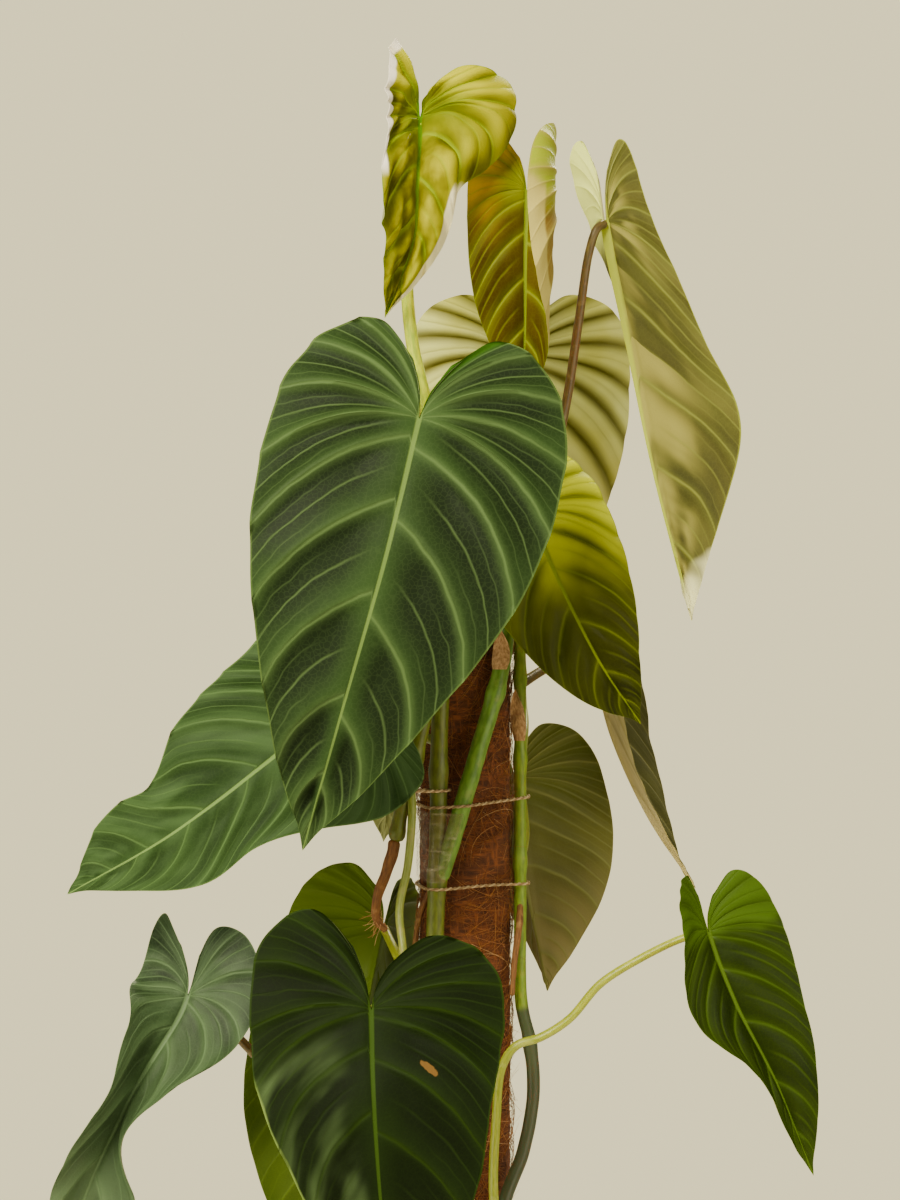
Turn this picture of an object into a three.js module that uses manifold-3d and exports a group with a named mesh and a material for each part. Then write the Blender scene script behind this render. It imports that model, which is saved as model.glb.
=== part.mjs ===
// A climbing philodendron on a coir pole in a plain clay pot.
// Millimetres, +Z up. The origin is the centre of the pot's underside, and the pole stands on the Z axis.
// Leaf blades, leaf stalks, vine stems, aerial roots, ties, pole, soil and pot are separate pieces.
import * as THREE from 'three';
import Module from 'manifold-3d';

const wasm = await Module();
wasm.setup();

// ---------------------------------------------------------------- driving dimensions
const GAP = 0.3;                // clearance between pieces that touch
const POT_HEIGHT = 175;
const RIM_RADIUS = 100;
const RIM_BAND = 30;            // height of the thickened rim
const BASE_RADIUS = 72;
const POT_WALL = 7;
const POT_FLOOR = 9;
const DRAIN_RADIUS = 5;
const DRAIN_CIRCLE = 42;        // the holes sit off the centre, so the middle of the underside is solid
const SOIL_TOP = 158;
const POLE_RADIUS = 23;         // coir sleeve
const CORE_RADIUS = 8;          // wooden stake inside the sleeve
const SLEEVE_BOTTOM = 60;
const SLEEVE_TOP = 610;
const CORE_BOTTOM = 22;
const CORE_TOP = 606;
const TWINE_RADIUS = 0.8;
const FILM = 0.4;
const LEAF_THICKNESS = 1.2;
const LEAF_ROWS = 14;           // steps along the margin of half a blade
const LEAF_COLUMNS = 3;         // steps from the midrib to the margin
const RAD = Math.PI / 180;

// Half a heart-shaped blade: how far out (of the half width) and how far along (of the blade's length,
// 0 at the stalk and 1 at the tip), from the notch round the lobe to the tip.
const HALF_OUTLINE = [
  [0.13, -0.15], [0.42, -0.245], [0.76, -0.195], [0.965, -0.05], [1, 0.13], [0.93, 0.33],
  [0.76, 0.53], [0.52, 0.72], [0.27, 0.88], [0.08, 0.975], [0, 1.03],
];

// Each leaf: the midrib's line (behind the stalk, at the stalk, one third, two thirds, tip), the way its
// upper face looks along that line, and for its two halves the half width, the angle at which the half
// leaves the midrib (fold) and how much it bends on the way to the margin (curl), at the same five places.
const LEAVES = {
  leaf_front: {
    spine: [[-13, -72, 716], [-22, -95, 675], [-37, -118, 610], [-55, -122, 546], [-74, -108, 480]],
    up: [[0.1, -0.8, 0.6], [0.05, -1, 0.3], [0, -1, 0.05], [0, -1, 0], [0, -1, -0.1]],
    a: { width: [70, 70, 70, 70, 70], fold: [22, 12, 6, 6, 8], curl: [-50, -35, -20, -30, -20] },
    b: { width: [72, 74, 72, 68, 66], fold: [25, 12, 6, 6, 8], curl: [-50, -35, -20, -30, -20] },
    wave: [1.5, 4], colour: 0x3f5f3c,
  },
  leaf_lime: {
    spine: [[-25, -45, 862], [-22, -45, 824], [-23, -65, 790], [-25, -60, 762], [-38, -40, 730]],
    up: [[0.1, -1, 0.2], [0, -1, 0.2], [0.1, -1, 0], [0.1, -1, 0], [0.2, -1, 0]],
    a: { width: [24, 26, 24, 24, 26, 28, 28, 30, 30], fold: [20, 20, 20, 20, 20], curl: [50, 50, 40, 30, 20] },
    b: { width: [56, 52, 24, 24, 24], fold: [40, 38, 20, 0, 10], curl: [-100, -95, -50, 1, 1], lobe: 0.6 },
    wave: [3, 4], colour: 0x9a9a2c,
  },
  leaf_bronze: {
    spine: [[31, -25, 816], [30, -35, 790], [29, -40, 755], [29, -35, 722], [28, -25, 688]],
    up: [[-0.1, -1, 0.2], [-0.1, -1, 0.1], [-0.1, -1, 0]],
    a: { width: [33, 30, 30, 34, 36], fold: [25, 22, 15, 10, 10], curl: [-10, -5, 1, 5, 10] },
    b: { width: [40, 47, 45, 39, 36], fold: [5, 5, 5, 5, 5], curl: [160, 160, 160, 160, 150] },
    wave: [1, 4], colour: 0x6e5f22,
  },
  leaf_pale_hanging: {
    spine: [[68, 15, 824], [71, 10, 780], [83, 5, 718], [95, 0, 655], [112, 0, 586]],
    up: [[0, 1, 0.1], [0, 1, 0.1], [0, 1, 0]],
    a: { width: [24, 26, 42, 76, 66], fold: [20, 20, 15, 15, 20], curl: [1, 1, 1, -10, -10] },
    b: { width: [22, 20, 26, 28, 28], fold: [5, 72, 98, 110, 90], curl: [1, 1, 1, 1, 1] },
    wave: [1, 4], colour: 0x7d7d4c,
  },
  leaf_back: {
    spine: [[29, 60, 750], [29, 70, 718], [29, 75, 669], [28, 75, 616], [25, 70, 565]],
    up: [[0, -1, 0.4], [0, -1, 0.3], [0, -1, 0.1]],
    a: { width: [60, 60, 60, 60, 60], fold: [10, 5, 0, 0, 0], curl: [-30, -30, -20, -20, -20] },
    b: { width: [60, 60, 60, 60, 60], fold: [10, 5, 0, 0, 0], curl: [-30, -30, -20, -20, -20] },
    wave: [1.5, 4], colour: 0xa09c6c,
  },
  leaf_olive: {
    spine: [[23, -14, 661], [32, -24, 633], [47, -39, 596], [65, -44, 560], [84, -34, 532]],
    up: [[0.1, -1, 0.3], [0.1, -1, 0.1], [0.1, -1, 0]],
    a: { width: [38, 38, 38, 38, 38], fold: [5, 5, 5, 5, 5], curl: [-30, -25, -20, -20, -20] },
    b: { width: [38, 38, 38, 38, 38], fold: [5, 5, 5, 5, 5], curl: [-30, -25, -20, -20, -20] },
    wave: [1, 4], colour: 0x5b5a1f,
  },
  leaf_left: {
    spine: [[-32, -42, 566], [-60, -58, 542], [-96, -76, 512], [-140, -80, 479], [-186, -66, 452]],
    up: [[0, -0.9, 0.45], [0, -0.9, 0.45], [0, -0.9, 0.45]],
    a: { width: [56, 56, 56, 56, 56, 56, 48, 80, 110], fold: [1, 1, 1, 1, 1], curl: [-20, -20, -20, -20, -20] },
    b: { width: [50, 52, 58, 56, 44, 38, 48, 42, 34], fold: [1, 1, 1, 1, 1], curl: [-20, -20, -20, -20, -20], lobe: 0.3 },
    wave: [3, 4], colour: 0x4c6a3a,
  },
  leaf_pole_right: {
    spine: [[22, 35, 524], [26, 35, 499], [29, 35, 464], [35, 35, 429], [42, 35, 393]],
    up: [[0, 1, 0.2], [0, 1, 0.1], [0.1, 1, 0]],
    a: { width: [42, 45, 52, 60, 58], fold: [5, 5, 5, 5, 5], curl: [5, 5, 5, 5, 5] },
    b: { width: [36, 38, 38, 30, 12], fold: [30, 40, 50, 50, 50], curl: [1, 1, 1, 1, 1] },
    wave: [1, 4], colour: 0x59582a,
  },
  leaf_narrow: {
    spine: [[62, 42, 584], [68, 42, 559], [77, 42, 520], [95, 42, 479], [117, 42, 445]],
    up: [[1, -0.1, 0.2], [1, -0.1, 0.2], [1, -0.1, 0]],
    a: { width: [38, 38, 38, 34, 18], fold: [10, 10, 12, 12, 12], curl: [5, 5, 5, 5, 5] },
    b: { width: [36, 38, 40, 36, 12], fold: [25, 25, 27, 25, 20], curl: [5, 5, 5, 5, 5] },
    wave: [1, 3], colour: 0x54552f,
  },
  leaf_low_right: {
    spine: [[115, -28, 456], [119, -32, 428], [132, -38, 393], [151, -38, 356], [169, -30, 312]],
    up: [[0.2, -1, 0.3], [0.1, -1, 0.2], [0.1, -1, 0]],
    a: { width: [28, 22, 30, 20, 16], fold: [40, 35, 25, 20, 10], curl: [10, 10, 10, 110, 130] },
    b: { width: [38, 38, 38, 38, 38], fold: [10, 5, 5, 5, 5], curl: [-20, -20, -20, -20, -20] },
    wave: [1, 3], colour: 0x47601f,
  },
  leaf_low_front: {
    spine: [[-45, -88, 447], [-44, -108, 401], [-42, -128, 358], [-38, -130, 306], [-31, -118, 248]],
    up: [[0, -0.9, 0.5], [0, -1, 0.2], [0, -1, 0]],
    a: { width: [66, 58, 54, 48, 48], fold: [10, 10, 5, 5, 5], curl: [-30, -30, -20, -20, -20] },
    b: { width: [72, 64, 58, 66, 60], fold: [10, 10, 5, 5, 5], curl: [-30, -30, -20, -20, -20], lobe: 0.7 },
    wave: [2, 4], colour: 0x34482a,
  },
  leaf_low_back: {
    spine: [[-36, 5, 455], [-41, 0, 427], [-52, -20, 373], [-64, -32, 316], [-76, -30, 256]],
    up: [[0, 1, 0.2], [0, 1, 0.1], [0, 1, 0]],
    a: { width: [40, 40, 44, 56, 56], fold: [62, 62, 62, 30, 10], curl: [1, 1, 1, 1, 1] },
    b: { width: [46, 48, 58, 72, 72], fold: [1, 1, 1, 1, 1], curl: [10, 10, 10, 10, 10] },
    wave: [1, 3], colour: 0x566b21,
  },
  leaf_low_left: {
    spine: [[-136, -50, 440], [-133, -62, 401], [-154, -80, 363], [-176, -75, 318], [-200, -55, 258]],
    up: [[0, -1, 0.4], [0, -1, 0.4], [0, -1, 0.2], [0, -1, 0.2], [0, -1, 0]],
    a: { width: [20, 27, 28, 36, 40], fold: [5, 10, 70, 55, 20], curl: [1, 1, 1, -10, -20] },
    b: { width: [36, 37, 36, 31, 22, 20, 44, 56, 54], fold: [10, 10, 12, 20, 45, 65, 25, 15, 10], curl: [1, 1, 1, -10, -20], lobe: 0.75 },
    wave: [0, 3], colour: 0x526b4f,
  },
  leaf_small_back: {
    spine: [[-31, 60, 564], [-34, 62, 543], [-38, 62, 516], [-40, 60, 490], [-42, 60, 466]],
    up: [[0, 1, 0.3], [0, 1, 0.2], [0, 1, 0]],
    a: { width: [24, 24, 24, 24, 24], fold: [1, 1, 1, 1, 1], curl: [10, 10, 10, 10, 10] },
    b: { width: [24, 24, 24, 24, 24], fold: [1, 1, 1, 1, 1], curl: [10, 10, 10, 10, 10] },
    wave: [1, 3], colour: 0x6a6f3a,
  },
};

// Vine stems, from the soil upwards: the line of the middle, then the radius at its foot and at its end.
const STEMS = {
  stem_left: {
    line: [[-32, -20, 118], [-33, -24, 200], [-24, -29, 300], [-16, -30, 400], [-13.5, -30.5, 470],
      [-12.5, -30.5, 530], [-9, -30.5, 590], [-8, -31, 628]],
    radius: [4.9, 4],
  },
  stem_right: {
    line: [[44, -4, 118], [40, -6, 200], [20, -26, 262], [19, -26, 292], [29, -14, 318], [34, -8, 346], [32, -7, 371],
      [28, -7, 390], [27.5, -6, 441], [27.5, -6, 540], [27, -6, 612]],
    radius: [3.6, 2.8],
  },
  stem_middle: {
    line: [[-13, -31, 452], [-6, -33, 474], [1, -34, 498], [8, -32, 522], [16, -27, 549], [20, -22, 572],
      [20, -22, 604], [16, -14, 630], [12, -9, 655]],
    radius: [4.4, 3.9],
  },
  side_shoot: {
    line: [[-13, -33, 552], [-19, -38, 536], [-25, -40, 510], [-31, -41, 488], [-34, -41, 472]],
    radius: [3.8, 3.4],
  },
};

// Leaf stalks: the stem that each grows from, the line from inside that stem to just short of the blade,
// and the radius at the stem and at the blade.
const STALKS = {
  stalk_front: { stem: 'stem_left', line: [[-9, -31, 596], [-12, -46, 618], [-17, -68, 650], [-22, -89, 671]], radius: [3, 2.4] },
  stalk_lime: {
    stem: 'stem_left', radius: [3.8, 3],
    line: [[-8, -31, 618], [-12, -31, 648], [-20, -31, 688], [-26, -30, 715], [-29, -29, 750], [-27, -31, 790], [-22.5, -41, 819]],
  },
  stalk_bronze: {
    stem: 'stem_middle', radius: [3, 2.4],
    line: [[12.5, -9, 646], [14, -9, 690], [22, -12, 740], [28, -20, 775], [30, -31, 787]],
  },
  stalk_pale_hanging: {
    stem: 'stem_right', radius: [2.8, 2.2],
    line: [[27, -6, 600], [37, -2, 635], [50, 1, 686], [57, 2, 731], [62, 2, 764], [66, 3, 776], [70.5, 6.5, 779]],
  },
  stalk_back: {
    stem: 'stem_right', radius: [2.8, 2.3],
    line: [[27.5, -6, 512], [29.5, 12, 526], [29.5, 52, 540], [29, 90, 590], [29, 95, 680], [29, 76, 716]],
  },
  stalk_olive: { stem: 'stem_right', line: [[27.2, -6, 580], [34, -10, 598], [37, -14, 616], [33.5, -20, 631]], radius: [2.7, 2.2] },
  stalk_left: { stem: 'side_shoot', line: [[-24, -40, 514], [-36, -44, 520], [-48, -48, 530], [-59, -54, 539]], radius: [3.1, 2.6] },
  stalk_pole_right: { stem: 'stem_right', line: [[27.5, -6, 462], [30, 6, 472], [29, 20, 488], [27, 31, 498]], radius: [2.6, 2.2] },
  stalk_narrow: { stem: 'stem_right', line: [[27.4, -6, 548], [42, 12, 556], [54, 30, 561], [65, 42, 560]], radius: [2.6, 2.2] },
  stalk_low_right: {
    stem: 'stem_right', radius: [2.6, 1.9],
    line: [[38, -8, 226], [22, -36, 250], [14, -36, 296], [15, -32, 335], [18, -32, 362], [25, -31, 372], [37, -30, 376],
      [51, -30, 385], [66, -30, 402], [85, -29, 414], [106, -28, 424], [117, -28, 427]],
  },
  stalk_low_front: {
    stem: 'side_shoot', radius: [2.2, 2],
    line: [[-27, -40, 502], [-26, -45, 488], [-28, -48, 462], [-32, -52, 441], [-30, -64, 418], [-34, -84, 402], [-43, -103, 400]],
  },
  stalk_low_back: { stem: 'stem_left', line: [[-17, -30, 386], [-27, -28, 402], [-34, -18, 415], [-40.5, -4, 426]], radius: [2.7, 2.2] },
  stalk_low_left: {
    stem: 'stem_left', radius: [2.8, 2.2],
    line: [[-24, -29, 306], [-48, -44, 318], [-78, -50, 344], [-96, -49, 364], [-113, -50, 382], [-131.5, -57, 400]],
  },
  stalk_small_back: { stem: 'stem_left', line: [[-12.5, -30, 520], [-34, -16, 528], [-40, 20, 538], [-35, 57, 542]], radius: [2.4, 1.9] },
};

// Aerial roots: the piece that each grows from, its line and its two radii.
const ROOTS = {
  root_shoot: { stem: 'side_shoot', line: [[-34, -41, 474], [-37, -41, 462], [-43, -41, 444], [-43, -40, 434], [-38, -39, 429]], radius: [3.3, 1.8] },
  root_left: { stem: 'stem_left', line: [[-15, -30, 452], [-22, -26, 436], [-25, -19, 415], [-25, -13, 392]], radius: [1.7, 1.1] },
  root_right: { stem: 'stem_right', line: [[27.5, -6, 441], [27, -12, 430], [24.5, -15, 412], [23, -17, 394]], radius: [1.9, 1.3] },
  root_soil: { stem: 'stem_left', line: [[-32, -25, 222], [-42, -33, 206], [-46, -38, 180], [-46, -39, 140]], radius: [2.2, 1.6] },
};

// Twine ties: the height, and what each goes round.
const TIES = {
  tie_upper: { height: 490, tilt: 0.07, around: ['pole', 'stem_left', 'stem_middle', 'stem_right'] },
  tie_lower: { height: 449, around: ['pole', 'stem_left', 'stem_right'] },
  tie_shoot: { height: 497, around: ['stem_left', 'side_shoot'] },
};

// ---------------------------------------------------------------- solids
/** A mesh's shared-vertex arrays as a manifold solid. */
function solid(points, triangles) {
  return new wasm.Manifold(new wasm.Mesh({
    numProp: 3, vertProperties: new Float32Array(points.flat()), triVerts: new Uint32Array(triangles.flat()),
  }));
}

/** A manifold solid as three.js geometry. */
function geometryOf(body) {
  const mesh = body.getMesh();
  const geometry = new THREE.BufferGeometry();
  geometry.setAttribute('position', new THREE.BufferAttribute(mesh.vertProperties, 3));
  geometry.setIndex(new THREE.BufferAttribute(mesh.triVerts, 1));
  return geometry;
}

/** A profile of [radius, z] turned round the Z axis, as a solid. It starts and ends on the axis or closes. */
function turned(profile, sides = 40) {
  const closed = profile[0][0] > 0;
  const points = [];
  const rows = profile.map(([radius, z]) => {
    if (radius === 0) {
      points.push([0, 0, z]);
      return Array(sides).fill(points.length - 1);
    }
    return Array.from({ length: sides }, (_, k) => {
      const angle = (2 * Math.PI * k) / sides;
      return points.push([radius * Math.cos(angle), radius * Math.sin(angle), z]) - 1;
    });
  });
  if (closed) rows.push(rows[0]);
  const triangles = [];
  for (let i = 0; i + 1 < rows.length; i++) {
    for (let k = 0; k < sides; k++) {
      const [a, b, c, d] = [rows[i][k], rows[i][(k + 1) % sides], rows[i + 1][(k + 1) % sides], rows[i + 1][k]];
      triangles.push([a, b, c], [a, c, d]);
    }
  }
  return solid(points, triangles.filter(([a, b, c]) => a !== b && b !== c && c !== a));
}

/** A tapering round tube along a smooth line, with flat ends. */
function tube(line, radius, { grow = 0, sides = 8, step = 11 } = {}) {
  const curve = new THREE.CatmullRomCurve3(line.map((p) => new THREE.Vector3(...p)));
  const steps = Math.max(4, Math.round(curve.getLength() / step));
  const { normals, binormals } = curve.computeFrenetFrames(steps, false);
  const points = [];
  for (let i = 0; i <= steps; i++) {
    const middle = curve.getPointAt(i / steps);
    const size = radius[0] + (radius[1] - radius[0]) * (i / steps) + grow;
    for (let k = 0; k < sides; k++) {
      const angle = (2 * Math.PI * k) / sides;
      const p = middle.clone()
        .addScaledVector(normals[i], size * Math.cos(angle))
        .addScaledVector(binormals[i], size * Math.sin(angle));
      points.push(p.toArray());
    }
  }
  const triangles = [];
  for (let i = 0; i < steps; i++) {
    for (let k = 0; k < sides; k++) {
      const a = i * sides + k;
      const b = i * sides + ((k + 1) % sides);
      triangles.push([a, b, b + sides], [a, b + sides, a + sides]);
    }
  }
  for (let k = 1; k + 1 < sides; k++) {
    triangles.push([0, k + 1, k]);
    triangles.push([steps * sides, steps * sides + k, steps * sides + k + 1]);
  }
  return solid(points, triangles);
}

/** A tube with the piece that it grows from cut out of its foot. */
function branch({ stem, line, radius }, options) {
  const parent = STEMS[stem];
  const rest = tube(line, radius, options).subtract(tube(parent.line, parent.radius, { grow: GAP }));
  return rest.decompose().reduce((largest, piece) => (piece.volume() > largest.volume() ? piece : largest));
}

// ---------------------------------------------------------------- leaf blades
/** Uniform Catmull-Rom spline through rows of numbers, u from 0 to rows - 1. */
function spline(rows, u) {
  const last = rows.length - 1;
  const i = Math.min(Math.max(Math.floor(u), 0), last - 1);
  const w = Math.min(Math.max(u, 0), last) - i;
  const [b, c] = [rows[i], rows[i + 1]];
  const a = i > 0 ? rows[i - 1] : b.map((v, k) => 2 * v - c[k]);
  const d = i + 2 <= last ? rows[i + 2] : c.map((v, k) => 2 * v - b[k]);
  return b.map((_, k) => 0.5 * (2 * b[k] + (c[k] - a[k]) * w
    + (2 * a[k] - 5 * b[k] + 4 * c[k] - d[k]) * w ** 2 + (3 * b[k] - a[k] - 3 * c[k] + d[k]) * w ** 3));
}

/** Place on the five-point midrib (0 to 4) for a place along the blade (0 at the stalk, 1 at the tip). */
function station(along) {
  if (along < 0) return Math.max(0, 1 + along / 0.25);
  return 1 + 3 * along;
}

/** Point of the flat half blade: s goes round the margin, t from the midrib out along a side vein. */
function flatPoint(s, t) {
  const [out, along] = spline(HALF_OUTLINE, s * (HALF_OUTLINE.length - 1));
  const root = Math.max((along - 0.2) / 0.83, 0) ** 1.12;
  const span = Math.hypot(out * 0.36, along - root);
  const bendOut = out / 2 - (0.05 * (1 - s) * span) / 0.36;
  const bendAlong = (root + along) / 2 - 0.2 * span;
  return [
    2 * t * (1 - t) * bendOut + t * t * out,
    (1 - t) ** 2 * root + 2 * t * (1 - t) * bendAlong + t * t * along,
  ];
}

/** A value listed along the midrib, at a place along the blade. */
function listed(rows, along) {
  const u = Math.min(station(along), 4);
  return spline(rows, (u / 4) * (rows.length - 1));
}

/** Point of the midrib's line. Past the tip it runs straight on. */
function spineAt(spine, along) {
  const u = station(along);
  const at = new THREE.Vector3(...spline(spine, Math.min(u, 4)));
  const on = new THREE.Vector3(...spine[4]).sub(new THREE.Vector3(...spine[3]));
  return at.addScaledVector(on, Math.max(u - 4, 0));
}

/** Point of the upper face of a leaf. side is 1 for half a and -1 for half b. */
function bladePoint(leaf, side, s, t) {
  const half = side > 0 ? leaf.a : leaf.b;
  const [out, flatAlong] = flatPoint(s, t);
  const along = flatAlong < 0 ? flatAlong * (half.lobe ?? 1) : flatAlong;
  const middle = spineAt(leaf.spine, along);
  const tangent = spineAt(leaf.spine, along + 0.001).sub(spineAt(leaf.spine, along - 0.001)).normalize();
  const up = new THREE.Vector3(...listed(leaf.up, along));
  up.addScaledVector(tangent, -up.dot(tangent)).normalize();
  const across = new THREE.Vector3().crossVectors(tangent, up);
  const width = listed(half.width.map((v) => [v]), along)[0];
  const fold = listed(half.fold.map((v) => [v * RAD]), along)[0];
  const curl = listed(half.curl.map((v) => [v * RAD]), along)[0];
  const x = (width * (Math.sin(fold + curl * out) - Math.sin(fold))) / curl;
  const z = (width * (Math.cos(fold) - Math.cos(fold + curl * out))) / curl
    + leaf.wave[0] * out * out * Math.sin(2 * Math.PI * leaf.wave[1] * s) * Math.min(4 * (1 - s), 1);
  return middle.addScaledVector(across, side * x).addScaledVector(up, z);
}

/** The sheet of a blade's upper face: welded points, and triangles that face up. */
function bladeSheet(leaf) {
  const points = [];
  const found = new Map();
  const weld = (p) => {
    const key = p.toArray().map((v) => Math.round(v * 100)).join();
    if (!found.has(key)) found.set(key, points.push(p) - 1);
    return found.get(key);
  };
  const triangles = [];
  for (const side of [1, -1]) {
    const rows = Array.from({ length: LEAF_ROWS + 1 }, (_, i) =>
      Array.from({ length: LEAF_COLUMNS + 1 }, (_, j) =>
        weld(bladePoint(leaf, side, i / LEAF_ROWS, j / LEAF_COLUMNS))));
    for (let i = 0; i < LEAF_ROWS; i++) {
      for (let j = 0; j < LEAF_COLUMNS; j++) {
        const [p, q, r, o] = [rows[i][j], rows[i + 1][j], rows[i + 1][j + 1], rows[i][j + 1]];
        const pair = side > 0 ? [[p, o, r], [p, r, q]] : [[p, r, o], [p, q, r]];
        triangles.push(...pair);
      }
    }
  }
  return { points, triangles: triangles.filter(([a, b, c]) => a !== b && b !== c && c !== a) };
}

/** A leaf blade: its upper sheet, the same sheet one thickness below, and the margin between them. */
function blade(leaf) {
  const { points, triangles } = bladeSheet(leaf);
  const normals = points.map(() => new THREE.Vector3());
  const edges = new Map();
  for (const [a, b, c] of triangles) {
    const ab = points[b].clone().sub(points[a]);
    const face = ab.cross(points[c].clone().sub(points[a]));
    for (const k of [a, b, c]) normals[k].add(face);
    for (const [u, v] of [[a, b], [b, c], [c, a]]) edges.set(`${u},${v}`, [u, v]);
  }
  const below = points.map((p, k) => p.clone().addScaledVector(normals[k].normalize(), -LEAF_THICKNESS));
  const n = points.length;
  const faces = [...triangles, ...triangles.map(([a, b, c]) => [a + n, c + n, b + n])];
  for (const [u, v] of edges.values()) {
    if (!edges.has(`${v},${u}`)) faces.push([v, u, u + n], [v, u + n, v + n]);
  }
  return solid([...points, ...below].map((p) => p.toArray()), faces);
}

// ---------------------------------------------------------------- wraps round the pole
/** Where a stem's middle line is at a height, and its radius there. */
function crossing(name, height) {
  if (name === 'pole') return { x: 0, y: 0, radius: POLE_RADIUS };
  const { line, radius } = STEMS[name];
  const curve = new THREE.CatmullRomCurve3(line.map((p) => new THREE.Vector3(...p)));
  const places = Array.from({ length: 401 }, (_, i) => i / 400);
  const off = (u) => Math.abs(curve.getPointAt(u).z - height);
  const best = places.reduce((u, v) => (off(v) < off(u) ? v : u));
  const at = curve.getPointAt(best);
  return { x: at.x, y: at.y, radius: radius[0] + (radius[1] - radius[0]) * best + 0.5 };
}

/** The line of a band pulled tight round some circles, as [x, y, outward x, outward y], between two angles. */
function tightLine(circles, clearance, from = 0, to = 360) {
  const line = [];
  for (let degrees = from; degrees < to + 0.1; degrees += 10) {
    const [nx, ny] = [Math.cos(degrees * RAD), Math.sin(degrees * RAD)];
    const reach = (c) => c.x * nx + c.y * ny + c.radius;
    const far = circles.reduce((c, d) => (reach(d) > reach(c) ? d : c));
    const size = far.radius + clearance;
    line.push([far.x + nx * size, far.y + ny * size, nx, ny]);
  }
  return line;
}

/** Twine pulled tight round the pole and stems at one height, or rising to one side by its tilt. */
function tie({ height, tilt = 0, around }) {
  const circles = around.map((name) => crossing(name, height));
  const line = tightLine(circles, GAP + TWINE_RADIUS * 1.2).slice(0, -1);
  const sides = 6;
  const points = line.flatMap(([x, y, nx, ny]) => Array.from({ length: sides }, (_, k) => {
    const angle = (2 * Math.PI * k) / sides;
    const out = TWINE_RADIUS * Math.cos(angle);
    return [x + nx * out, y + ny * out, height + tilt * x + TWINE_RADIUS * Math.sin(angle)];
  }));
  const triangles = [];
  line.forEach((_, i) => {
    for (let k = 0; k < sides; k++) {
      const next = ((i + 1) % line.length) * sides;
      const [a, b] = [i * sides + k, i * sides + ((k + 1) % sides)];
      const [c, d] = [next + ((k + 1) % sides), next + k];
      triangles.push([a, d, c], [a, c, b]);
    }
  });
  return solid(points, triangles);
}

/** A strip of clear film that holds the left stem against the pole between the two ties. */
function film(bottom, top) {
  const circles = [bottom, top].flatMap((height) =>
    ['pole', 'stem_left', 'stem_middle'].map((name) => crossing(name, Math.max(height, 456))));
  const line = tightLine(circles, GAP, 170, 290);
  const points = line.flatMap(([x, y, nx, ny]) => [
    [x, y, bottom], [x + nx * FILM, y + ny * FILM, bottom], [x + nx * FILM, y + ny * FILM, top], [x, y, top],
  ]);
  const triangles = [[0, 1, 2], [0, 2, 3]];
  for (let i = 0; i + 1 < line.length; i++) {
    for (let k = 0; k < 4; k++) {
      const [a, b] = [4 * i + k, 4 * i + ((k + 1) % 4)];
      triangles.push([a, b + 4, b], [a, a + 4, b + 4]);
    }
  }
  const end = 4 * (line.length - 1);
  triangles.push([end, end + 2, end + 1], [end, end + 3, end + 2]);
  return solid(points, triangles);
}

/** A dried leaf sheath: a pointed scale that half wraps a stem, standing off it a little. */
function sheath(stem, bottom, length, turn, spread) {
  const [rows, columns, thick] = [8, 6, 0.7];
  const points = [];
  for (const layer of [0, 1]) {
    for (let i = 0; i <= rows; i++) {
      const { x, y, radius } = crossing(stem, bottom + (length * i) / rows);
      const open = spread * Math.sin((0.55 + 0.42 * (i / rows)) * Math.PI);
      const off = radius + GAP + 0.6 + 4 * (i / rows) ** 2 + layer * thick;
      for (let j = 0; j <= columns; j++) {
        const angle = (turn + open * (j / columns - 0.5)) * RAD;
        points.push([x + off * Math.cos(angle), y + off * Math.sin(angle), bottom + (length * i) / rows]);
      }
    }
  }
  const at = (layer, i, j) => (layer * (rows + 1) + i) * (columns + 1) + j;
  const triangles = [];
  for (let i = 0; i < rows; i++) {
    for (let j = 0; j < columns; j++) {
      const outer = [at(1, i, j), at(1, i, j + 1), at(1, i + 1, j + 1), at(1, i + 1, j)];
      const inner = [at(0, i, j), at(0, i + 1, j), at(0, i + 1, j + 1), at(0, i, j + 1)];
      for (const [a, b, c, d] of [outer, inner]) triangles.push([a, b, c], [a, c, d]);
    }
  }
  const rim = [];
  for (let j = 0; j < columns; j++) rim.push([0, j]);
  for (let i = 0; i < rows; i++) rim.push([i, columns]);
  for (let j = columns; j > 0; j--) rim.push([rows, j]);
  for (let i = rows; i > 0; i--) rim.push([i, 0]);
  rim.forEach(([i, j], k) => {
    const [m, n] = rim[(k + 1) % rim.length];
    triangles.push([at(0, i, j), at(0, m, n), at(1, m, n)], [at(0, i, j), at(1, m, n), at(1, i, j)]);
  });
  return solid(points, triangles);
}

// ---------------------------------------------------------------- pot, soil and pole
/** The inside radius of the pot at a height. */
const potInside = (z) => BASE_RADIUS - POT_WALL + ((RIM_RADIUS - 5 - BASE_RADIUS) * z) / POT_HEIGHT;

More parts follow.
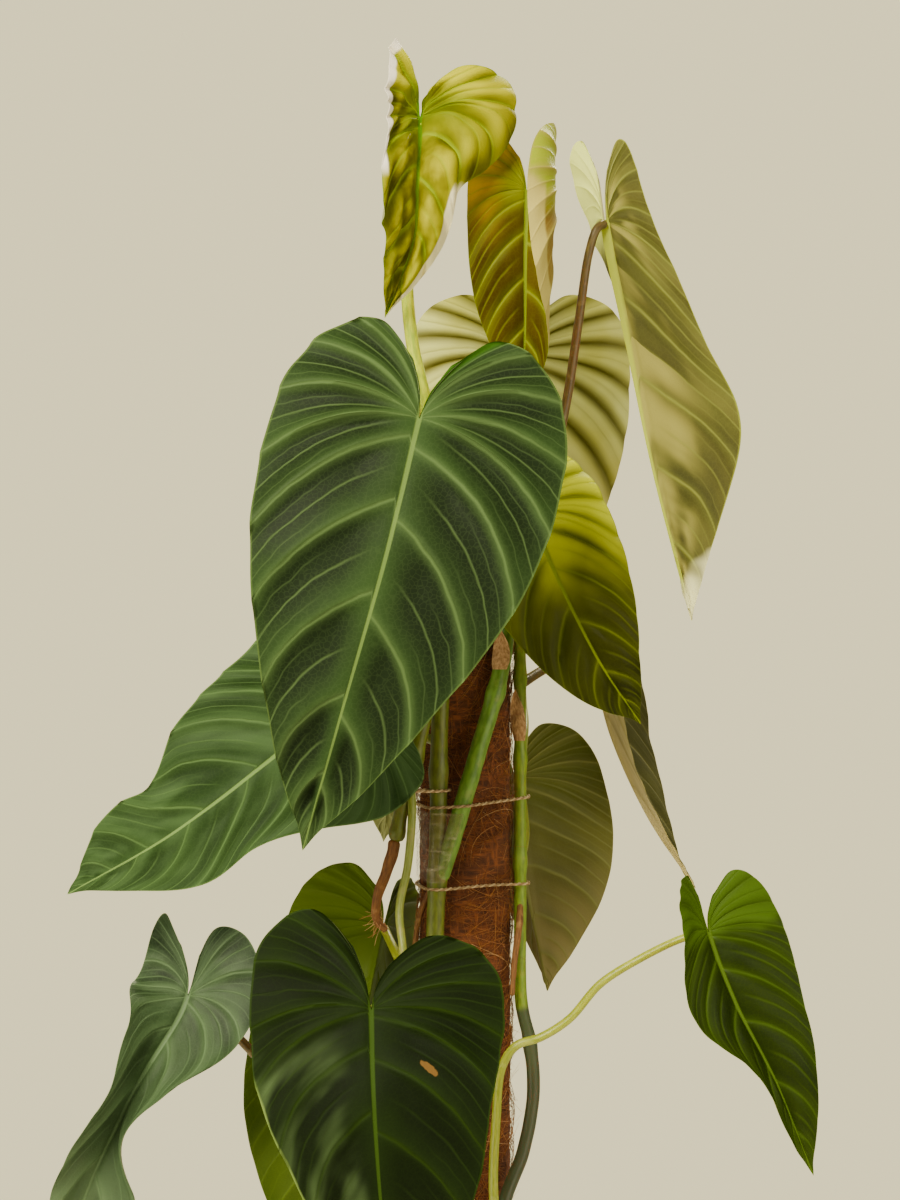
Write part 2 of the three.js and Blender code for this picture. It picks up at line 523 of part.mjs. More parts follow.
/** A plain clay pot with a thickened rim and three drain holes. */
function pot() {
  const shoulder = POT_HEIGHT - RIM_BAND;
  const outside = (z) => potInside(z) + POT_WALL;
  const profile = [
    [0, 0], [BASE_RADIUS - 2, 0], [BASE_RADIUS, 2], [outside(shoulder), shoulder],
    [RIM_RADIUS - 2, shoulder + 2], [RIM_RADIUS, shoulder + 5], [RIM_RADIUS, POT_HEIGHT - 3],
    [RIM_RADIUS - 3, POT_HEIGHT], [potInside(POT_HEIGHT) + 2, POT_HEIGHT], [potInside(POT_HEIGHT - 3), POT_HEIGHT - 3],
    [potInside(POT_FLOOR + 4), POT_FLOOR + 4], [potInside(POT_FLOOR) - 4, POT_FLOOR], [0, POT_FLOOR],
  ];
  const drain = turned([[0, -5], [DRAIN_RADIUS, -5], [DRAIN_RADIUS, POT_FLOOR + 8], [0, POT_FLOOR + 8]], 16);
  return [90, 210, 330].reduce((body, degrees) => body.subtract(drain.translate(
    [DRAIN_CIRCLE * Math.cos(degrees * RAD), DRAIN_CIRCLE * Math.sin(degrees * RAD), 0])), turned(profile));
}

/** The soil, with the places of the pole, the stems and the root that go down into it. */
function soil() {
  const side = (z) => potInside(z) - GAP - 0.2;
  const body = turned([
    [0, POT_FLOOR + GAP], [side(POT_FLOOR) - 4.5, POT_FLOOR + GAP], [side(POT_FLOOR + 4.5), POT_FLOOR + 4.5],
    [side(SOIL_TOP - 5), SOIL_TOP - 5], [side(SOIL_TOP) - 8, SOIL_TOP - 2], [50, SOIL_TOP], [0, SOIL_TOP + 1],
  ]);
  const cuts = [
    turned([[0, CORE_BOTTOM - GAP], [CORE_RADIUS + GAP, CORE_BOTTOM - GAP], [CORE_RADIUS + GAP, SLEEVE_BOTTOM - GAP],
      [POLE_RADIUS + GAP, SLEEVE_BOTTOM - GAP], [POLE_RADIUS + GAP, SLEEVE_TOP], [0, SLEEVE_TOP]], 32),
    ...[STEMS.stem_left, STEMS.stem_right, ROOTS.root_soil].map(({ line, radius }) => tube(
      [[line[0][0], line[0][1], line[0][2] - 1], ...line.slice(1)], radius, { grow: GAP })),
    tube([[...ROOTS.root_soil.line[2]], [-46, -39, 139]], ROOTS.root_soil.radius, { grow: GAP }),
  ];
  return cuts.reduce((rest, cut) => rest.subtract(cut), body);
}

/** The coir sleeve: a thick fibrous tube on the stake. */
function sleeve() {
  const inner = CORE_RADIUS + GAP;
  return turned([
    [inner, SLEEVE_BOTTOM], [POLE_RADIUS, SLEEVE_BOTTOM], [POLE_RADIUS, SLEEVE_TOP - 4],
    [POLE_RADIUS - 4, SLEEVE_TOP], [inner, SLEEVE_TOP],
  ], 32);
}

/** The wooden stake that stands in the soil and carries the sleeve. */
function core() {
  return turned([
    [0, CORE_BOTTOM], [3, CORE_BOTTOM], [CORE_RADIUS, CORE_BOTTOM + 14], [CORE_RADIUS, CORE_TOP - 1],
    [CORE_RADIUS - 1, CORE_TOP], [0, CORE_TOP],
  ], 24);
}

// ---------------------------------------------------------------- the plant
const philodendron = new THREE.Group();

/** Add one named piece. */
function add(name, body, color, roughness = 0.7) {
  const mesh = new THREE.Mesh(geometryOf(body), new THREE.MeshStandardMaterial({ color, roughness, metalness: 0 }));
  mesh.name = name;
  philodendron.add(mesh);
}

add('pot', pot(), 0xa8623f, 0.85);
add('soil', soil(), 0x3b2c20, 0.95);
add('pole_core', core(), 0x8f7350, 0.8);
add('coir_sleeve', sleeve(), 0x7a4222, 0.95);
const STEM_COLOURS = { stem_left: 0x5d6b2c, stem_middle: 0x66802c, stem_right: 0x6b7a35, side_shoot: 0x5a6a2e };
for (const [name, stem] of Object.entries(STEMS)) {
  const body = tube(stem.line, stem.radius);
  const joined = name === 'stem_middle' || name === 'side_shoot' ? branch({ stem: 'stem_left', ...stem }) : body;
  add(name, joined, STEM_COLOURS[name], 0.55);
}
for (const [name, leaf] of Object.entries(LEAVES)) add(name, blade(leaf), leaf.colour, 0.5);
for (const [name, stalk] of Object.entries(STALKS)) add(name, branch(stalk, { sides: 6, step: 12 }), 0x6f7f34, 0.5);
for (const [name, root] of Object.entries(ROOTS)) add(name, branch(root, { sides: 6, step: 8 }), 0x8a4f24, 0.8);
for (const [name, knot] of Object.entries(TIES)) add(name, tie(knot), 0xb39468, 0.9);
add('film_wrap', film(452, 486), 0xd8d4c4, 0.2);
add('sheath_stem', sheath('stem_right', 520, 26, 250, 130), 0x9a7a52, 0.9);
add('sheath_top', sheath('stem_middle', 556, 20, 250, 120), 0xb08a5c, 0.9);

export default philodendron;
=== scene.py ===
# %% [markdown]
# # A climbing philodendron on a coir pole
# The plant is a set of thin curved sheets (leaves), tapering tubes (stems, stalks and roots) and a fibrous pole,
# in a clay pot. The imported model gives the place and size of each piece. Everything here is made in metres, at
# rest, with +Z up, and the pot's underside is at the origin.

# %% Load the frame
import math

import bpy
import numpy as np
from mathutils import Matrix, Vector


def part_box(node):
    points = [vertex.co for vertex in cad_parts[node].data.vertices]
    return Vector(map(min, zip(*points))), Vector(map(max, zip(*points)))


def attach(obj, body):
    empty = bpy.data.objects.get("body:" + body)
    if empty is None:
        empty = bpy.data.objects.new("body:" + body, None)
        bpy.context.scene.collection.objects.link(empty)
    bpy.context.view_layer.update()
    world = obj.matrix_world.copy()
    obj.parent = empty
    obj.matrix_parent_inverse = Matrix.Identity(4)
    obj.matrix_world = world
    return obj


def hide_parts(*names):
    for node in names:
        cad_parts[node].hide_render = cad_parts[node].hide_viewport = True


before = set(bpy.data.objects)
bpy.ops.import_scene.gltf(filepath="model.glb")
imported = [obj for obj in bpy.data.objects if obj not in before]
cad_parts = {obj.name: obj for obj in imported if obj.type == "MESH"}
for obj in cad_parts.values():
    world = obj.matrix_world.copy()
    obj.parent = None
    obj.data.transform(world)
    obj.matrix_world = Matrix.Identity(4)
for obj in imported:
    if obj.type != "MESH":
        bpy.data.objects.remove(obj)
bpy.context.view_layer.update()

MM = 0.001
WELD = 2e-6  # points nearer than this are one point, in metres

# %% [markdown]
# ## Camera
# The plant was looked at level, from about a metre and a half, at the height of the middle of its leaves. A long
# lens keeps the near leaves from growing. The camera comes first, so that every later step can be looked at.

# %% Camera
camera = bpy.data.objects.new("camera", bpy.data.cameras.new("camera"))
camera.data.lens, camera.data.sensor_width = 85, 36
camera.location = (-7.5 * MM, -1417 * MM, 590 * MM)
camera.rotation_euler = (math.pi / 2, 0, 0)
bpy.context.collection.objects.link(camera)
bpy.context.scene.camera = camera

# %% [markdown]
# ## From arrays to a mesh
# Every new piece is worked out as whole numpy arrays: points, triangles, a pair of surface coordinates for each
# point, and named values for each point. One helper welds points that fall together (a pole, a seam, the place
# where all the veins of a leaf meet), drops triangles that lose their area, and hands the rest to Blender.

# %% Mesh helper
def make_piece(name, points, triangles, uv=None, values=None, materials=(), sharp=50, weld=True,
               material_of=None, replaces=()):
    """A mesh object from arrays. uv has one row a point and is stored at the corners, so that a welded seam
    keeps both of its values. values maps a name to one number or three numbers a point."""
    points, triangles = np.asarray(points, float).reshape(-1, 3), np.asarray(triangles, int).reshape(-1, 3)
    first, welded = np.arange(len(points)), np.arange(len(points))
    if weld:
        _, first, welded = np.unique(np.round(points / WELD).astype(np.int64), axis=0, return_index=True,
                                     return_inverse=True)
    corners = welded.reshape(-1)[triangles]
    keep = (corners != np.roll(corners, 1, axis=1)).all(1)
    corners, source = corners[keep], triangles[keep]
    mesh = bpy.data.meshes.new(name)
    mesh.vertices.add(len(first))
    mesh.vertices.foreach_set("co", points[first].astype(np.float32).ravel())
    mesh.loops.add(corners.size)
    mesh.loops.foreach_set("vertex_index", corners.astype(np.int32).ravel())
    mesh.polygons.add(len(corners))
    mesh.polygons.foreach_set("loop_start", np.arange(0, corners.size, 3, dtype=np.int32))
    mesh.update(calc_edges=True)
    if uv is not None:
        layer = mesh.uv_layers.new(name="surface")
        layer.data.foreach_set("uv", np.asarray(uv, np.float32).reshape(-1, 2)[source].ravel())
    for key, value in (values or {}).items():
        value = np.asarray(value, np.float32)[first]
        kind, field = ("FLOAT", "value") if value.ndim == 1 else ("FLOAT_VECTOR", "vector")
        mesh.attributes.new(key, kind, "POINT").data.foreach_set(field, value.ravel())
    mesh.polygons.foreach_set("use_smooth", np.ones(len(corners), bool))
    mesh.set_sharp_from_angle(angle=math.radians(sharp))
    for material in materials:
        mesh.materials.append(material)
    if material_of is not None:
        mesh.polygons.foreach_set("material_index", np.asarray(material_of, np.int32)[keep])
    piece = bpy.data.objects.new(name, mesh)
    bpy.context.collection.objects.link(piece)
    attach(piece, "root")
    if replaces:
        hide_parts(*replaces)
    return piece


def grid_triangles(rows, columns, close_rows=False, close_columns=False):
    """Two triangles for each cell of a grid of rows x columns points, wound so that rows x columns points out."""
    i = np.arange(rows if close_rows else rows - 1)
    j = np.arange(columns if close_columns else columns - 1)
    i, j = (a.ravel() for a in np.meshgrid(i, j, indexing="ij"))
    a, b = i * columns + j, i * columns + (j + 1) % columns
    c, d = ((i + 1) % rows) * columns + (j + 1) % columns, ((i + 1) % rows) * columns + j
    return np.stack([np.stack([a, b, c], 1), np.stack([a, c, d], 1)], 1).reshape(-1, 3)


def sheet_triangles(rows, columns, pointed=False):
    """A closed sheet on two grids of points, one after the other: its two faces, and the wall round their edge.
    The second grid faces out. On a pointed sheet the first does, and there is no wall along the last row,
    because all of its points fall together at the tip."""
    n = rows * columns
    front, index = grid_triangles(rows, columns), np.arange(n).reshape(rows, columns)
    rim = np.concatenate([index[::-1, 0], index[0, 1:], index[1:, -1]] if pointed else
                         [index[0], index[1:, -1], index[-1, -2::-1], index[-2::-1, 0]])
    a, b = rim[:-1], rim[1:]
    wall = np.stack([np.stack([a, b, b + n], 1), np.stack([a, b + n, a + n], 1)], 1).reshape(-1, 3)
    return np.concatenate([front, front[:, ::-1] + n] if pointed else [front[:, ::-1], front + n]), wall


def turned(radius, angle, height):
    """Points (rows, angles, 3) round the Z axis."""
    return np.stack([radius * np.cos(angle), radius * np.sin(angle), height + 0 * radius * angle], -1)


def report(piece, node=None):
    """Prints a piece's triangles, and how far it reaches beyond its CAD node."""
    co = np.empty(len(piece.data.vertices) * 3, np.float32)
    piece.data.vertices.foreach_get("co", co)
    co = co.reshape(-1, 3)
    text = f"{piece.name}: {len(piece.data.polygons)} triangles"
    if node:
        low, high = (np.array(v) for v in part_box(node))
        text += f", beyond its node by {np.round(np.maximum(low - co.min(0), co.max(0) - high) / MM, 1).tolist()} mm"
    print(text)

# %% [markdown]
# ## Curves
# A stem is a few points and a smooth curve through them. The centripetal Catmull-Rom curve passes through each
# point and doesn't overshoot where two points are close, which is why it suits stalks that turn sharply.

# %% Smooth curves
def smooth_path(points, count):
    """count points spaced evenly along the centripetal Catmull-Rom curve through the given points. Each span's
    knots are the square roots of the distances between points, and the two end points are mirrored."""
    p = np.asarray(points, float)
    p = np.vstack([2 * p[0] - p[1], p, 2 * p[-1] - p[-2]])
    gaps = np.linalg.norm(np.diff(p, axis=0), axis=1) ** 0.5
    spans = []
    for i in range(1, len(p) - 2):
        t0, t1, t2, t3 = np.cumsum([0, *gaps[i - 1:i + 2]])
        t = np.linspace(t1, t2, 40)[:, None]
        a1 = ((t1 - t) * p[i - 1] + (t - t0) * p[i]) / (t1 - t0)
        a2 = ((t2 - t) * p[i] + (t - t1) * p[i + 1]) / (t2 - t1)
        a3 = ((t3 - t) * p[i + 1] + (t - t2) * p[i + 2]) / (t3 - t2)
        b1, b2 = ((t2 - t) * a1 + (t - t0) * a2) / (t2 - t0), ((t3 - t) * a2 + (t - t1) * a3) / (t3 - t1)
        spans.append(((t2 - t) * b1 + (t - t1) * b2) / (t2 - t1))
    line = np.vstack(spans)
    run = np.concatenate([[0], np.cumsum(np.linalg.norm(np.diff(line, axis=0), axis=1))])
    even = np.linspace(0, run[-1], count)
    return np.stack([np.interp(even, run, line[:, k]) for k in range(3)], 1), run[-1]


def unit(v):
    """Rows of v at length one."""
    return v / np.maximum(np.linalg.norm(v, axis=-1, keepdims=True), 1e-12)


def moving_frames(line):
    """Tangent and two cross directions at each point of a line. The cross directions turn as little as they can:
    each is the last one with its part along the new tangent taken away."""
    tangent = unit(np.gradient(line, axis=0))
    side = np.zeros_like(line)
    start = np.cross(tangent[0], (0.0, 0.0, 1.0) if abs(tangent[0][2]) < 0.9 else (1.0, 0.0, 0.0))
    for i in range(len(line)):
        start = start - np.dot(start, tangent[i]) * tangent[i]
        start = start / np.linalg.norm(start)
        side[i] = start
    return tangent, side, np.cross(tangent, side)


def wobble(seed, *coordinates, waves=5, scale=1.0):
    """Smooth noise from -1 to 1: the mean of a few sine waves with random directions and phases."""
    rng = np.random.default_rng(seed)
    total = 0
    for _ in range(waves):
        phase = rng.uniform(0, 2 * np.pi)
        along = sum(c * k for c, k in zip(coordinates, rng.normal(0, scale, len(coordinates))))
        total = total + np.sin(along + phase)
    return total / waves * 1.6

# %% [markdown]
# ## Shader helpers
# Materials are node graphs. A small class keeps them readable: it adds a node and fills its sockets, and has a
# word for each step that materials share. mul, add and sub take two or more values and work from the left.

# %% Node helpers
def rgb(*screen):
    """A colour picked as 0 to 255 screen values, as the linear light that shaders work in."""
    v = np.array(screen) / 255
    return (*np.where(v <= 0.04045, v / 12.92, ((v + 0.055) / 1.055) ** 2.4), 1.0)


class Graph:
    """A node tree with short ways to add nodes. A value that is a socket is linked, and any other is set."""

    def __init__(self, tree):
        self.tree = tree

    def node(self, kind, inputs=None, **settings):
        made = self.tree.nodes.new(kind)
        for key, value in settings.items():
            setattr(made, key, value)
        for key, value in (inputs or {}).items():
            self.put(made.inputs[key], value)
        return made

    def put(self, socket, value):
        if isinstance(value, bpy.types.NodeSocket):
            self.tree.links.new(value, socket)
        else:
            socket.default_value = value

    @property
    def place(self):
        return self.node("ShaderNodeTexCoord").outputs["Object"]

    @property
    def surface(self):
        return self.node("ShaderNodeUVMap", uv_map="surface").outputs[0]

    def math(self, operation, first, *others):
        """The operation on the first value and the next one, then on that result and the one after it."""
        for other in others or (0.0,):
            first = self.node("ShaderNodeMath", {0: first, 1: other, 2: 0.0}, operation=operation).outputs[0]
        return first

    def mul(self, *values):
        return self.math("MULTIPLY", *values)

    def add(self, *values):
        return self.math("ADD", *values)

    def sub(self, *values):
        return self.math("SUBTRACT", *values)

    def ramp(self, value, low, high, start=0.0, end=1.0):
        """value's smooth step from low to high, put out as start to end."""
        made = self.node("ShaderNodeMapRange", {"Value": value, "From Min": low, "From Max": high, "To Min": start,
                                                "To Max": end}, interpolation_type="SMOOTHSTEP")
        return made.outputs["Result"]

    def fall(self, value, low, high):
        """1 below low, 0 above high."""
        return self.ramp(value, low, high, 1.0, 0.0)

    def mix(self, factor, a, b):
        """a where factor is 0 and b where it is 1. Each is a socket or a colour of 0 to 255 screen values."""
        made = self.node("ShaderNodeMix", data_type="RGBA")
        for key, value in ((0, factor), (6, a), (7, b)):
            self.put(made.inputs[key], rgb(*value) if isinstance(value, tuple) else value)
        return made.outputs[2]

    def noise(self, vector, scale, detail=3.0, roughness=0.55, distortion=0.0):
        made = self.node("ShaderNodeTexNoise", {"Vector": vector, "Scale": scale, "Detail": detail,
                                                "Roughness": roughness, "Distortion": distortion})
        return made.outputs["Fac"]

    def shake(self, vector, scale, size):
        """Noise about 0, of the given size."""
        return self.mul(self.sub(self.noise(vector, scale, 2), 0.5), size)

    def stretched(self, vector, scale):
        return self.node("ShaderNodeMapping", {"Vector": vector, "Scale": scale}).outputs["Vector"]

    def parts(self, vector):
        return self.node("ShaderNodeSeparateXYZ", {0: vector}).outputs

    def bump(self, height, strength, distance):
        made = self.node("ShaderNodeBump", {"Height": height, "Strength": strength, "Distance": distance})
        return made.outputs["Normal"]

    def shade(self, colour, roughness, normal=None, **others):
        """Fills the Principled shader's sockets and gives the material back."""
        named = {"Base Color": colour, "Roughness": roughness, "Normal": normal}
        for key, value in {**named, **{key.replace("_", " "): value for key, value in others.items()}}.items():
            if value is not None:
                self.put(self.shader.inputs[key], value)
        return self.material


def new_material(name):
    """The graph of a new material that holds its output and a Principled shader."""
    material = bpy.data.materials.new(name)
    material.use_nodes = True
    g = Graph(material.node_tree)
    g.tree.nodes.clear()
    g.material, g.shader = material, g.node("ShaderNodeBsdfPrincipled")
    g.output = g.node("ShaderNodeOutputMaterial", {"Surface": g.shader.outputs[0]})
    return g

# %% [markdown]
# ## Veins
# A philodendron's veins run from the midrib out to the margin in long curves. Each blade is made on just those
# curves: its first surface coordinate counts veins, so a main vein lies at each whole number, and its second goes
# from the midrib (0) to the margin (1). The group turns the distance to the nearest vein into masks that keep
# their width in millimetres, because each point also carries the spacing of its veins.

# %% Vein group
vein_group = bpy.data.node_groups.new("leaf_veins", "ShaderNodeTree")
for title, size in (("Vein width", 1.1), ("Glow width", 3.5), ("Rib width", 1.0)):
    vein_group.interface.new_socket(title, in_out="INPUT", socket_type="NodeSocketFloat").default_value = size
g = Graph(vein_group)
widths = g.node("NodeGroupInput").outputs
count, out, _ = g.parts(g.surface)
spacing, rib, along = g.parts(g.node("ShaderNodeAttribute", attribute_name="leaf").outputs["Vector"])
# The form attribute carries the side, the painted shade of the relief, and the place round the margin.
side, hollow, around = g.parts(g.node("ShaderNodeAttribute", attribute_name="form").outputs["Vector"])
place = g.place
wander = g.shake(place, 45, 0.10)
bent = g.add(count, wander)


def off_vein(number, share):
    """Distance in mm to the nearest whole value of number, where share is the size of one step in vein spacings."""
    off = g.math("ABSOLUTE", g.sub(g.math("FRACT", g.add(number, 0.5)), 0.5))
    return g.mul(off, spacing, share)


main_mm, half_mm = off_vein(bent, 1.0), off_vein(g.mul(bent, 2.0), 0.5)
quarter_mm = off_vein(g.mul(g.add(bent, g.mul(wander, 1.5)), 4.0), 0.25)
width = g.mul(widths["Vein width"], g.mul(g.ramp(out, 0.0, 1.0, 1.0, 0.6), g.ramp(spacing, 4.0, 13.0, 0.4, 1.0)))
main = g.mul(g.fall(main_mm, 0.0, width), g.ramp(out, 0.5, 1.0, 1.0, 0.4))
half = g.mul(g.fall(half_mm, 0.0, g.mul(width, 0.85)), g.ramp(out, 0.04, 0.35))
quarter = g.mul(g.fall(quarter_mm, 0.0, g.mul(width, 0.7)), g.ramp(out, 0.25, 0.7))
rib_mask = g.fall(rib, g.mul(widths["Rib width"], 0.45), widths["Rib width"])
cells = g.node("ShaderNodeTexVoronoi", {"Vector": place, "Scale": 420.0}, feature="DISTANCE_TO_EDGE")
net = g.fall(cells.outputs["Distance"], 0.0, 0.12)
dip = g.math("MAXIMUM", main, g.mul(half, 0.5), g.mul(rib_mask, 0.8))
along_veins = g.node("ShaderNodeCombineXYZ", {0: g.mul(count, 2.0), 1: g.mul(out, 0.9), 2: side}).outputs[0]
streak = g.noise(along_veins, 1.1, 2, 0.45)
strip = g.math("FLOOR", g.add(g.mul(bent, 2.0), g.mul(wander, 2.0)))
panel_place = g.node("ShaderNodeCombineXYZ", {0: g.mul(strip, 3.7), 1: g.mul(out, 1.3), 2: side}).outputs[0]
masks = {
    "Main": main, "Minor": half, "Glow": g.fall(main_mm, 0.0, widths["Glow width"]), "Rib": rib_mask, "Along": along,
    "Out": out, "Height": g.sub(1.0, dip, g.mul(net, 0.08)), "Fine": g.math("MAXIMUM", quarter, g.mul(net, 0.3)),
    "Side": side, "PaintedShade": hollow, "Streak": streak,
    "Panel": g.add(g.noise(panel_place, 1.0, 1), g.mul(g.sub(streak, 0.5), 0.5)), "Round": around}
for title in masks:
    vein_group.interface.new_socket(title, in_out="OUTPUT", socket_type="NodeSocketFloat")
g.node("NodeGroupOutput", masks)
print("vein group:", len(vein_group.nodes), "nodes")

# %% [markdown]
# ## Leaf finish
# A living leaf is a thin coloured filter over pale veins. Its colour wanders slowly, is lighter beside the veins,
# carries painted shade where its relief sinks, and changes from the stalk to the tip on young leaves. Light also
# comes through it, which a Translucent shader mixed with the Principled one gives. The lower face is duller and
# paler, with veins that stand up, so each leaf has two materials made from the same recipe.

# %% Leaf materials
# The relief's dips carry painted shade: the deep green darkened where shade falls between the veins.
HOLLOW_PAINTED_SHADE = 0.45  # how dark the hollows between veins are, against the deep green
SCAR_COLOUR = (116, 84, 38)


def leaf_face(name, tissue, deep, vein, rib=None, base=None, base_end=0.4, tip=None, tip_start=0.3, margins=(),
              lobe=None, point=None, rough=0.5, through=0.2, upper=True, vein_width=1.6, glow=0.3, glow_width=4.5,
              shine=0.2, minor=0.4, fine=0.22, hollow=0.35, rim=0.4, gleam=None, gleam_from=None, scar=None,
              light=None, main=0.75, other=None, sinus=None, panel=None, outer=None, drift_scale=22):
    """One face of a leaf. tissue and deep are the colours between the veins. base is the colour near the stalk,
    tip towards the tip and point at the very tip. margins lists (colour, side, inner edge, start, end) of pale
    edges, lobe that of the lobe behind the stalk on side b, sinus that of side b beside the stalk's notch, other
    that of the whole side b and outer that of the outer part near the stalk. panel gives paler streaks, and gleam
    is painted sheen: paler streaks that stand for light off the surface. hollow is how much painted shade darkens
    the sunken relief, and rim how strong the pale margin line is, partly painted light through the thin edge.
    scar is a dried spot. light is the colour that shines through."""
    g = new_material(name)
    v = g.node("ShaderNodeGroup", {"Vein width": vein_width, "Glow width": glow_width},
               node_tree=vein_group).outputs
    place = g.place
    slow = g.ramp(g.noise(place, drift_scale, 3), 0.32, 0.68)
    drift = g.add(v["Along"], g.shake(place, 28, 0.3))
    colour = g.mix(slow, deep, tissue)

    def lay(shade, mask):
        """Lays a colour over the leaf by a mask, when the recipe has that colour."""
        nonlocal colour
        if shade is not None:
            colour = g.mix(mask(), colour, shade)

    # Painted sheen: paler streaks along the veins that stand for light off the surface.
    def gleam_mask():
        soft = g.ramp(v["Streak"], 0.36, 0.78, 0.0, 0.6)
        if gleam_from is None:
            return soft
        return g.mul(soft, g.ramp(v["Side"], 0.1, 0.3), g.ramp(drift, gleam_from, gleam_from + 0.25))

    def scar_mask():
        turned_place = g.node("ShaderNodeMapping", {"Vector": place, "Location": [c * MM for c in scar[0]],
                                                    "Rotation": (0, scar[1], 0), "Scale": (5.2 * MM, 9, 1.7 * MM)},
                              vector_type="TEXTURE").outputs[0]
        far = g.node("ShaderNodeVectorMath", {0: turned_place}, operation="LENGTH").outputs["Value"]
        return g.fall(g.add(far, g.mul(g.noise(place, 400, 3), 0.8)), 1.2, 1.45)

    lay(other, lambda: g.fall(v["Side"], -0.02, 0.02))
    lay(base, lambda: g.fall(drift, 0.0, base_end))
    lay(tip, lambda: g.ramp(drift, tip_start, 1.0))
    lay(outer, lambda: g.mul(g.fall(drift, 0.0, 0.3), g.ramp(v["Out"], 0.25, 0.7)))
    lay(panel, lambda: g.mul(g.ramp(v["Panel"], 0.38, 0.58), g.ramp(v["Out"], 0.3, 0.7, 1.0, 0.15)))
    # Painted shade: the deep green darkened where the relief sinks.
    lay(tuple(c * HOLLOW_PAINTED_SHADE for c in deep), lambda: g.mul(v["PaintedShade"], hollow))
    # Painted sheen streaks over the tissue.
    lay(gleam, gleam_mask)
    for mask, amount in (("Glow", glow), ("Fine", fine), ("Minor", minor), ("Main", main)):
        lay(vein, lambda: g.mul(v[mask], amount))
    lay(rib or vein, lambda: g.mul(v["Rib"], 0.9))
    # A pale line along the margin: partly the edge's own paler colour, partly painted light where light comes through
    # the thin edge.
    lay(rib or vein, lambda: g.ramp(v["Out"], 0.978, 0.992, 0.0, rim))
    lay(sinus, lambda: g.mul(g.fall(v["Side"], -0.02, 0.0), g.fall(v["Round"], 0.1, 0.13)))
    lay(lobe, lambda: g.mul(g.fall(v["Side"], -0.02, 0.0), g.fall(v["Along"], -0.02, 0.12), 0.9))
    for shade, which, edge, start, end in margins:
        ragged = g.add(v["Out"], g.shake(place, 90, 0.04))
        lay(shade, lambda: g.mul(g.ramp(ragged, edge, min(edge + 0.05, 0.995)),
                                 g.ramp(v["Side"], -0.1, 0.1, 0.5 - which / 2, 0.5 + which / 2),
                                 g.ramp(drift, start, start + 0.08), g.fall(drift, end - 0.08, end)))
    lay(point, lambda: g.ramp(drift, 0.92, 0.97))
    lay(SCAR_COLOUR if scar else None, scar_mask)
    lay(deep, lambda: g.ramp(g.noise(place, 700, 2), 0.62, 0.75, 0.0, 0.08))
    grain = g.add(g.mul(v["Height"], 1.0 if upper else -1.0), g.mul(g.noise(place, 900, 2), 0.12))
    normal = g.bump(grain, 0.5, 0.6 * MM)
    g.shade(colour, g.add(g.mul(slow, 0.12), rough - 0.06), normal, Specular_IOR_Level=shine)
    behind = g.node("ShaderNodeBsdfTranslucent", {"Normal": normal, "Color": g.mix(0.6, colour, light or vein)})
    both = g.node("ShaderNodeMixShader", {0: through, 1: g.shader.outputs[0], 2: behind.outputs[0]})
    g.put(g.output.inputs["Surface"], both.outputs[0])
    return g.material


def leaf_pair(name, upper, lower):
    """The two finishes of a leaf: its upper face and its lower face."""
    return leaf_face(f"{name}_upper", **upper), leaf_face(f"{name}_lower", upper=False, **lower)

# %% [markdown]
# ## The shape of a leaf
# A blade is flat first: half of a heart, from the notch round the lobe to the tip. The lines that cross it are its
# side veins, each a quadratic curve from its root on the midrib to the margin, bowed back towards the stalk. The
# flat shape is then carried by the midrib's line in space. Each half leaves the midrib at an angle (fold) and bends
# on an arc (curl), and both change along the leaf, which is how one recipe gives flat, folded, rolled and twisted
# leaves. Between the veins the tissue is puffed up, as on the real leaf.

# %% Blade formula
HALF_OUTLINE = np.array([(0.13, -0.15), (0.42, -0.245), (0.76, -0.195), (0.965, -0.05), (1, 0.13), (0.93, 0.33),
                         (0.76, 0.53), (0.52, 0.72), (0.27, 0.88), (0.08, 0.975), (0, 1.03)])
BLADE_ROWS, BLADE_COLUMNS = 150, 22


def spline(rows, u):
    """Uniform Catmull-Rom curve through rows, u from 0 to rows - 1, with the ends carried straight on."""
    rows = np.asarray(rows, float)
    last = len(rows) - 1
    more = np.vstack([2 * rows[0] - rows[1], rows, 2 * rows[-1] - rows[-2]])
    u = np.clip(u, 0, last)
    i = np.minimum(u.astype(int), last - 1)
    w = (u - i)[..., None]
    a, b, c, d = (more[i + k] for k in range(4))
    return 0.5 * (2 * b + (c - a) * w + (2 * a - 5 * b + 4 * c - d) * w**2 + (3 * b - a - 3 * c + d) * w**3)


def station(along):
    """Where a place along the blade (0 stalk, 1 tip) falls on the five points of its midrib, 0 to 4."""
    return np.where(along < 0, np.maximum(0, 1 + along / 0.25), 1 + 3 * along)


def flat_half(s, t):
    """Out and along of the flat half blade. s goes round the margin and t from the midrib out: a quadratic curve
    from the vein's root to the margin. Its control point is half way, set to the stalk's side of the straight line
    by a fifth of that line's length, so a vein leaves the midrib steeply and then sweeps forward."""
    margin = spline(HALF_OUTLINE, s * (len(HALF_OUTLINE) - 1))
    out, along = margin[..., 0], margin[..., 1]
    root = np.maximum((along - 0.2) / 0.83, 0) ** 1.7
    bow = (0.06 + 0.15 * np.clip(s / 0.1, 0, 1)) * np.clip((1 - s) * 8, 0, 1)
    bend_out = out / 2 + bow * (along - root) / 0.3
    bend_along = (root + along) / 2 - bow * out * 0.3
    return (2 * t * (1 - t) * bend_out + t * t * out,
            (1 - t) ** 2 * root + 2 * t * (1 - t) * bend_along + t * t * along)


